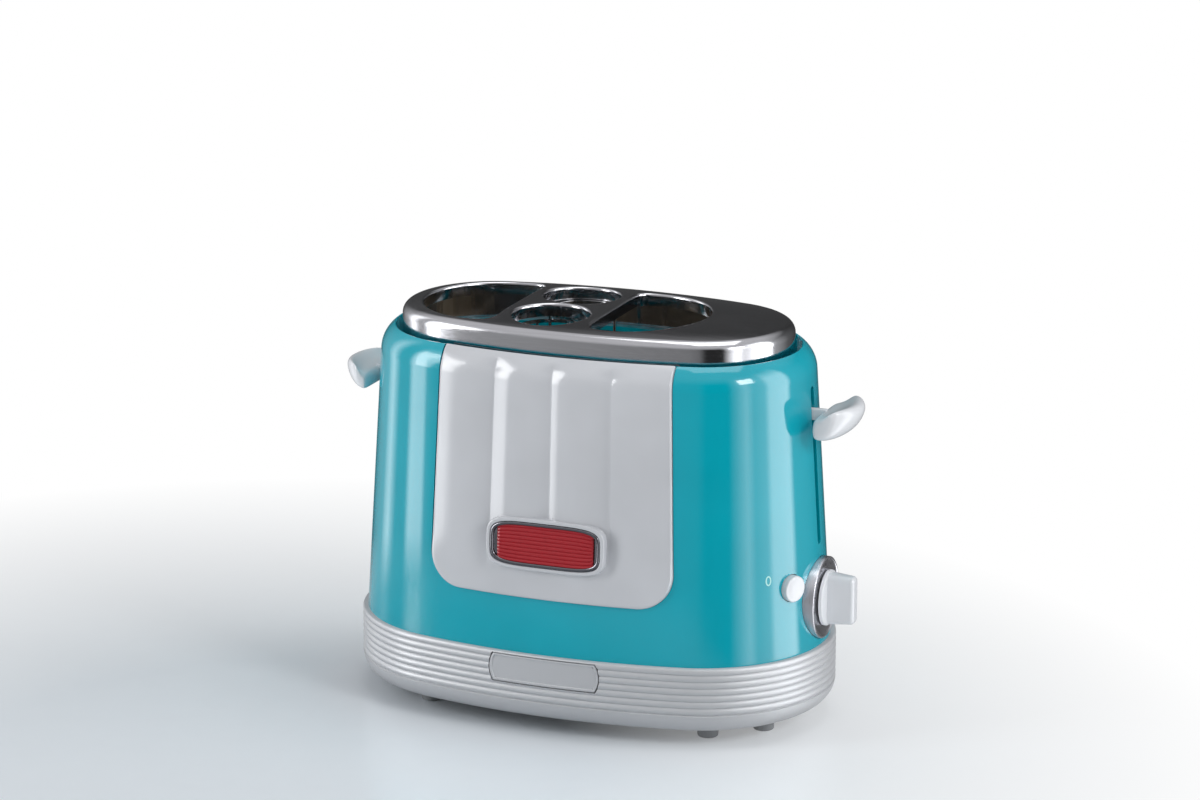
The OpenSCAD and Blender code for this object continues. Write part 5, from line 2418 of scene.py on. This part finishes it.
class Insides:
    """The frame's own solids that keep their shape and get a finish."""

    finishes: dict[Finish, tuple[str, ...]] = {
        ZINC: ("bottom_plate", "base_screws", "posts", "deck_plate", "tray_runners", "left_end_plate",
               "right_end_plate", "front_heat_shield", "rear_heat_shield", "bun_carriage",
               "sausage_carriage", "bun_rod_bridge", "sausage_rod_bridge", "armature"),
        WIRE: ("bun_guards", "sausage_guides", "bun_guide_rods", "sausage_guide_rods", "timer_shaft"),
        BLACK: ("bun_slider", "sausage_slider", "timer", "stop_switch", "terminal_block", "cord_gland"),
        SILVER: ("crumb_tray",),
        MICA: ("mica_cards",),
        STRIP: ("heater_wires",),
        COPPER: ("electromagnet",),
        BOARD: ("circuit_board",),
    }

    def dress(self) -> None:
        """Give each solid its finish."""
        for finish, names in self.finishes.items():
            for name in names:
                node = frame["nodes"][name]
                node.data.materials.clear()
                node.data.materials.append(finish.material())
                log.info("%s: frame solid, %s", name, finish.name)


# ---- Studio ----


@dataclass
class Studio:
    """Pale floor, soft light and the camera."""

    aim: Vector = field(default_factory=lambda: Vector((1.56, 0, 165.8)))
    azimuth: float = 21.437
    elevation: float = 15.31
    distance: float = 2142.7
    lens: float = 119.7
    ceiling: float = 0.8
    fill: float = 0.5
    floor_size: float = 12.0
    floor_rough: float = 0.28
    floor_middle: tuple[float, float, float] = (-0.12, -0.16, 0.0)
    white_reach: Point = (0.16, 0.52)
    mirror_reach: Point = (0.26, 0.4)
    lamps: tuple[tuple[str, tuple[float, float, float], Point, float], ...] = (
        ("top_box", (0.15, 0.1, 1.5), (1.0, 0.8), 5),
        ("left_box", (-1.2, -0.85, 0.6), (0.45, 1.1), 7),
        ("right_box", (1.3, -0.55, 0.95), (0.4, 0.4), 6),
    )
    panorama: tuple[Point, ...] = (
        (-180, 0.05), (-140, 0.08), (-110, 0.6), (-98, 3.0), (-86, 0.5), (-72, 0.6), (-66, 5.0),
        (-52, 5.0), (-47, 0.5), (-5, 0.35), (16, 0.25), (24, 0.03), (46, 0.03), (54, 1.2), (64, 3.0),
        (72, 1.4), (84, 2.0), (90, 5.0), (112, 5.0), (118, 0.6), (150, 0.15), (180, 0.05),
    )

    def camera(self) -> None:
        """Place the camera at its angle and aim it."""
        az, el = radians(self.azimuth), radians(self.elevation)
        back = Vector((sin(az) * cos(el), -cos(az) * cos(el), sin(el))) * self.distance
        data = bpy.data.cameras.new("camera")
        data.lens, data.sensor_width = self.lens, 36.0
        camera = bpy.data.objects.new("camera", data)
        camera.location = (self.aim + back) * MM
        camera.rotation_euler = (-back).to_track_quat("-Z", "Y").to_euler()
        bpy.context.scene.collection.objects.link(camera)
        bpy.context.scene.camera = camera

    def lamp(self, name: str, place: Vector, size: Point, power: float) -> None:
        """Add a soft box that faces the toaster.

        Args:
            name: Name of the lamp.
            place: Its place in metres.
            size: Its width and height in metres.
            power: Its power in watts.
        """
        data = bpy.data.lights.new(name, "AREA")
        data.shape, data.size, data.size_y = "RECTANGLE", size[0], size[1]
        data.energy = power
        lamp = bpy.data.objects.new(name, data)
        lamp.location = place
        lamp.rotation_euler = (Vector((0, 0, 0.12)) - place).to_track_quat("-Z", "Y").to_euler()
        bpy.context.scene.collection.objects.link(lamp)

    def world(self) -> None:
        """Even pale surroundings, darker towards the front, and white where the camera looks at them."""
        world = bpy.data.worlds.new("studio")
        book = NodeBook.fresh(world)
        look = book.add("ShaderNodeSeparateXYZ", Vector=book.add("ShaderNodeTexCoord").outputs["Generated"])
        ahead = book.math("MULTIPLY", look.outputs[1], -1.0)
        azimuth = book.math("ARCTAN2", look.outputs[0], ahead)
        around = book.add("ShaderNodeValToRGB", Fac=book.span(azimuth, -pi, pi, 0.0, 1.0))
        ramp = around.color_ramp
        while len(ramp.elements) < len(self.panorama):
            ramp.elements.new(0.5)
        for stop, (angle, tone) in zip(ramp.elements, self.panorama):
            stop.position = angle / 360 + 0.5
            stop.color = (tone, tone * 1.01, tone * 1.03, 1)
        above = book.span(look.outputs[2], 0.45, 0.75, 0.0, 1.0)
        tone = book.mix(above, around.outputs["Color"], (self.ceiling, self.ceiling, self.ceiling * 1.02, 1))
        ray = book.add("ShaderNodeLightPath")
        shine = book.span(ray.outputs["Is Glossy Ray"], 0.0, 1.0, self.fill, 1.0)
        strength = book.math("MAXIMUM", shine, ray.outputs["Is Camera Ray"])
        colour = book.mix(ray.outputs["Is Camera Ray"], tone, (1, 1, 1, 1))
        ground = book.add("ShaderNodeBackground", Color=colour, Strength=strength)
        book.feed(book.add("ShaderNodeOutputWorld").inputs["Surface"], ground.outputs[0])
        bpy.context.scene.world = world

    def floor(self) -> None:
        """Broad pale floor that keeps the shadow and fades into the white surroundings."""
        put_down()
        bpy.ops.mesh.primitive_plane_add(size=self.floor_size, location=(0, 0, 0))
        floor = named("floor")
        made = bpy.data.materials.new("pale_floor")
        book = NodeBook.fresh(made)
        place = book.add("ShaderNodeTexCoord").outputs["Object"]
        speck = book.add("ShaderNodeTexNoise", Vector=place, Scale=60.0, Detail=2.0)
        shader = book.add("ShaderNodeBsdfPrincipled")
        glossy = book.add("ShaderNodeLightPath").outputs["Is Glossy Ray"]
        tone = book.mix(speck.outputs[0], (0.8, 0.85, 0.89, 1), (0.82, 0.87, 0.91, 1))
        # For glossy rays the floor turns dark grey: painted shade in the floor's reflections on the toaster.
        book.feed(shader.inputs["Base Color"], book.mix(glossy, tone, (0.3, 0.32, 0.35, 1)))
        shader.inputs["Roughness"].default_value = self.floor_rough
        glow = book.add("ShaderNodeEmission", Color=(1, 1, 1, 1), Strength=1.0)
        away = book.add("ShaderNodeVectorMath", operation="DISTANCE")
        book.feed(away.inputs[0], place)
        away.inputs[1].default_value = self.floor_middle
        far = book.span(away.outputs["Value"], *self.white_reach, 0.0, 1.0)
        fading = book.blend(far, shader.outputs[0], glow.outputs[0])
        mirrored = book.math(
            "MULTIPLY", book.span(away.outputs["Value"], *self.mirror_reach, 0.0, 1.0), glossy
        )
        clear = book.add("ShaderNodeBsdfTransparent")
        surface = book.blend(mirrored, fading, clear.outputs[0])
        book.feed(book.add("ShaderNodeOutputMaterial").inputs["Surface"], surface)
        floor.data.materials.append(made)

    def build(self) -> None:
        """Set the stage."""
        scene = bpy.context.scene
        scene.view_settings.view_transform = "Standard"
        self.camera()
        self.world()
        self.floor()
        for name, place, size, power in self.lamps:
            self.lamp(name, Vector(place), size, power)
        log.info("studio: camera, floor, %d soft boxes", len(self.lamps))


SHELL = Shell()
PANEL = Panel()
BADGE = Badge()
BASE = Base()
TOP = SteelTop()
DIAL = Dial()
BUTTON = Button()
BUN_LEVER = Lever(End.RIGHT, "bun_lever", "bun_lift")
SAUSAGE_LEVER = Lever(End.LEFT, "sausage_lever", "sausage_lift", tip_x=145.0, under=0.72, plan_r=23.0)
SPRINGS = [Spring("bun_springs", "bun_lift_slide"), Spring("sausage_springs", "sausage_lift_slide")]


def clear_bench() -> None:
    """Remove what a new file starts with, and keep the frame's solids and bodies."""
    kept = {*frame["nodes"].values(), *frame["bodies"].values()}
    for other in [o for o in bpy.data.objects if o not in kept]:
        bpy.data.objects.remove(other)


def main() -> None:
    """Build every sub-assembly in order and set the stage."""
    logging.basicConfig(level=logging.INFO, format="%(name)s %(message)s")
    clear_bench()
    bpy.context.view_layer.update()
    for assembly in (
        SHELL, PANEL, BADGE, BASE, TOP, BUN_LEVER, SAUSAGE_LEVER, DIAL, BUTTON, *SPRINGS, Insides()
    ):
        assembly.dress()
    Studio().build()


if __name__ == "__main__":
    main()
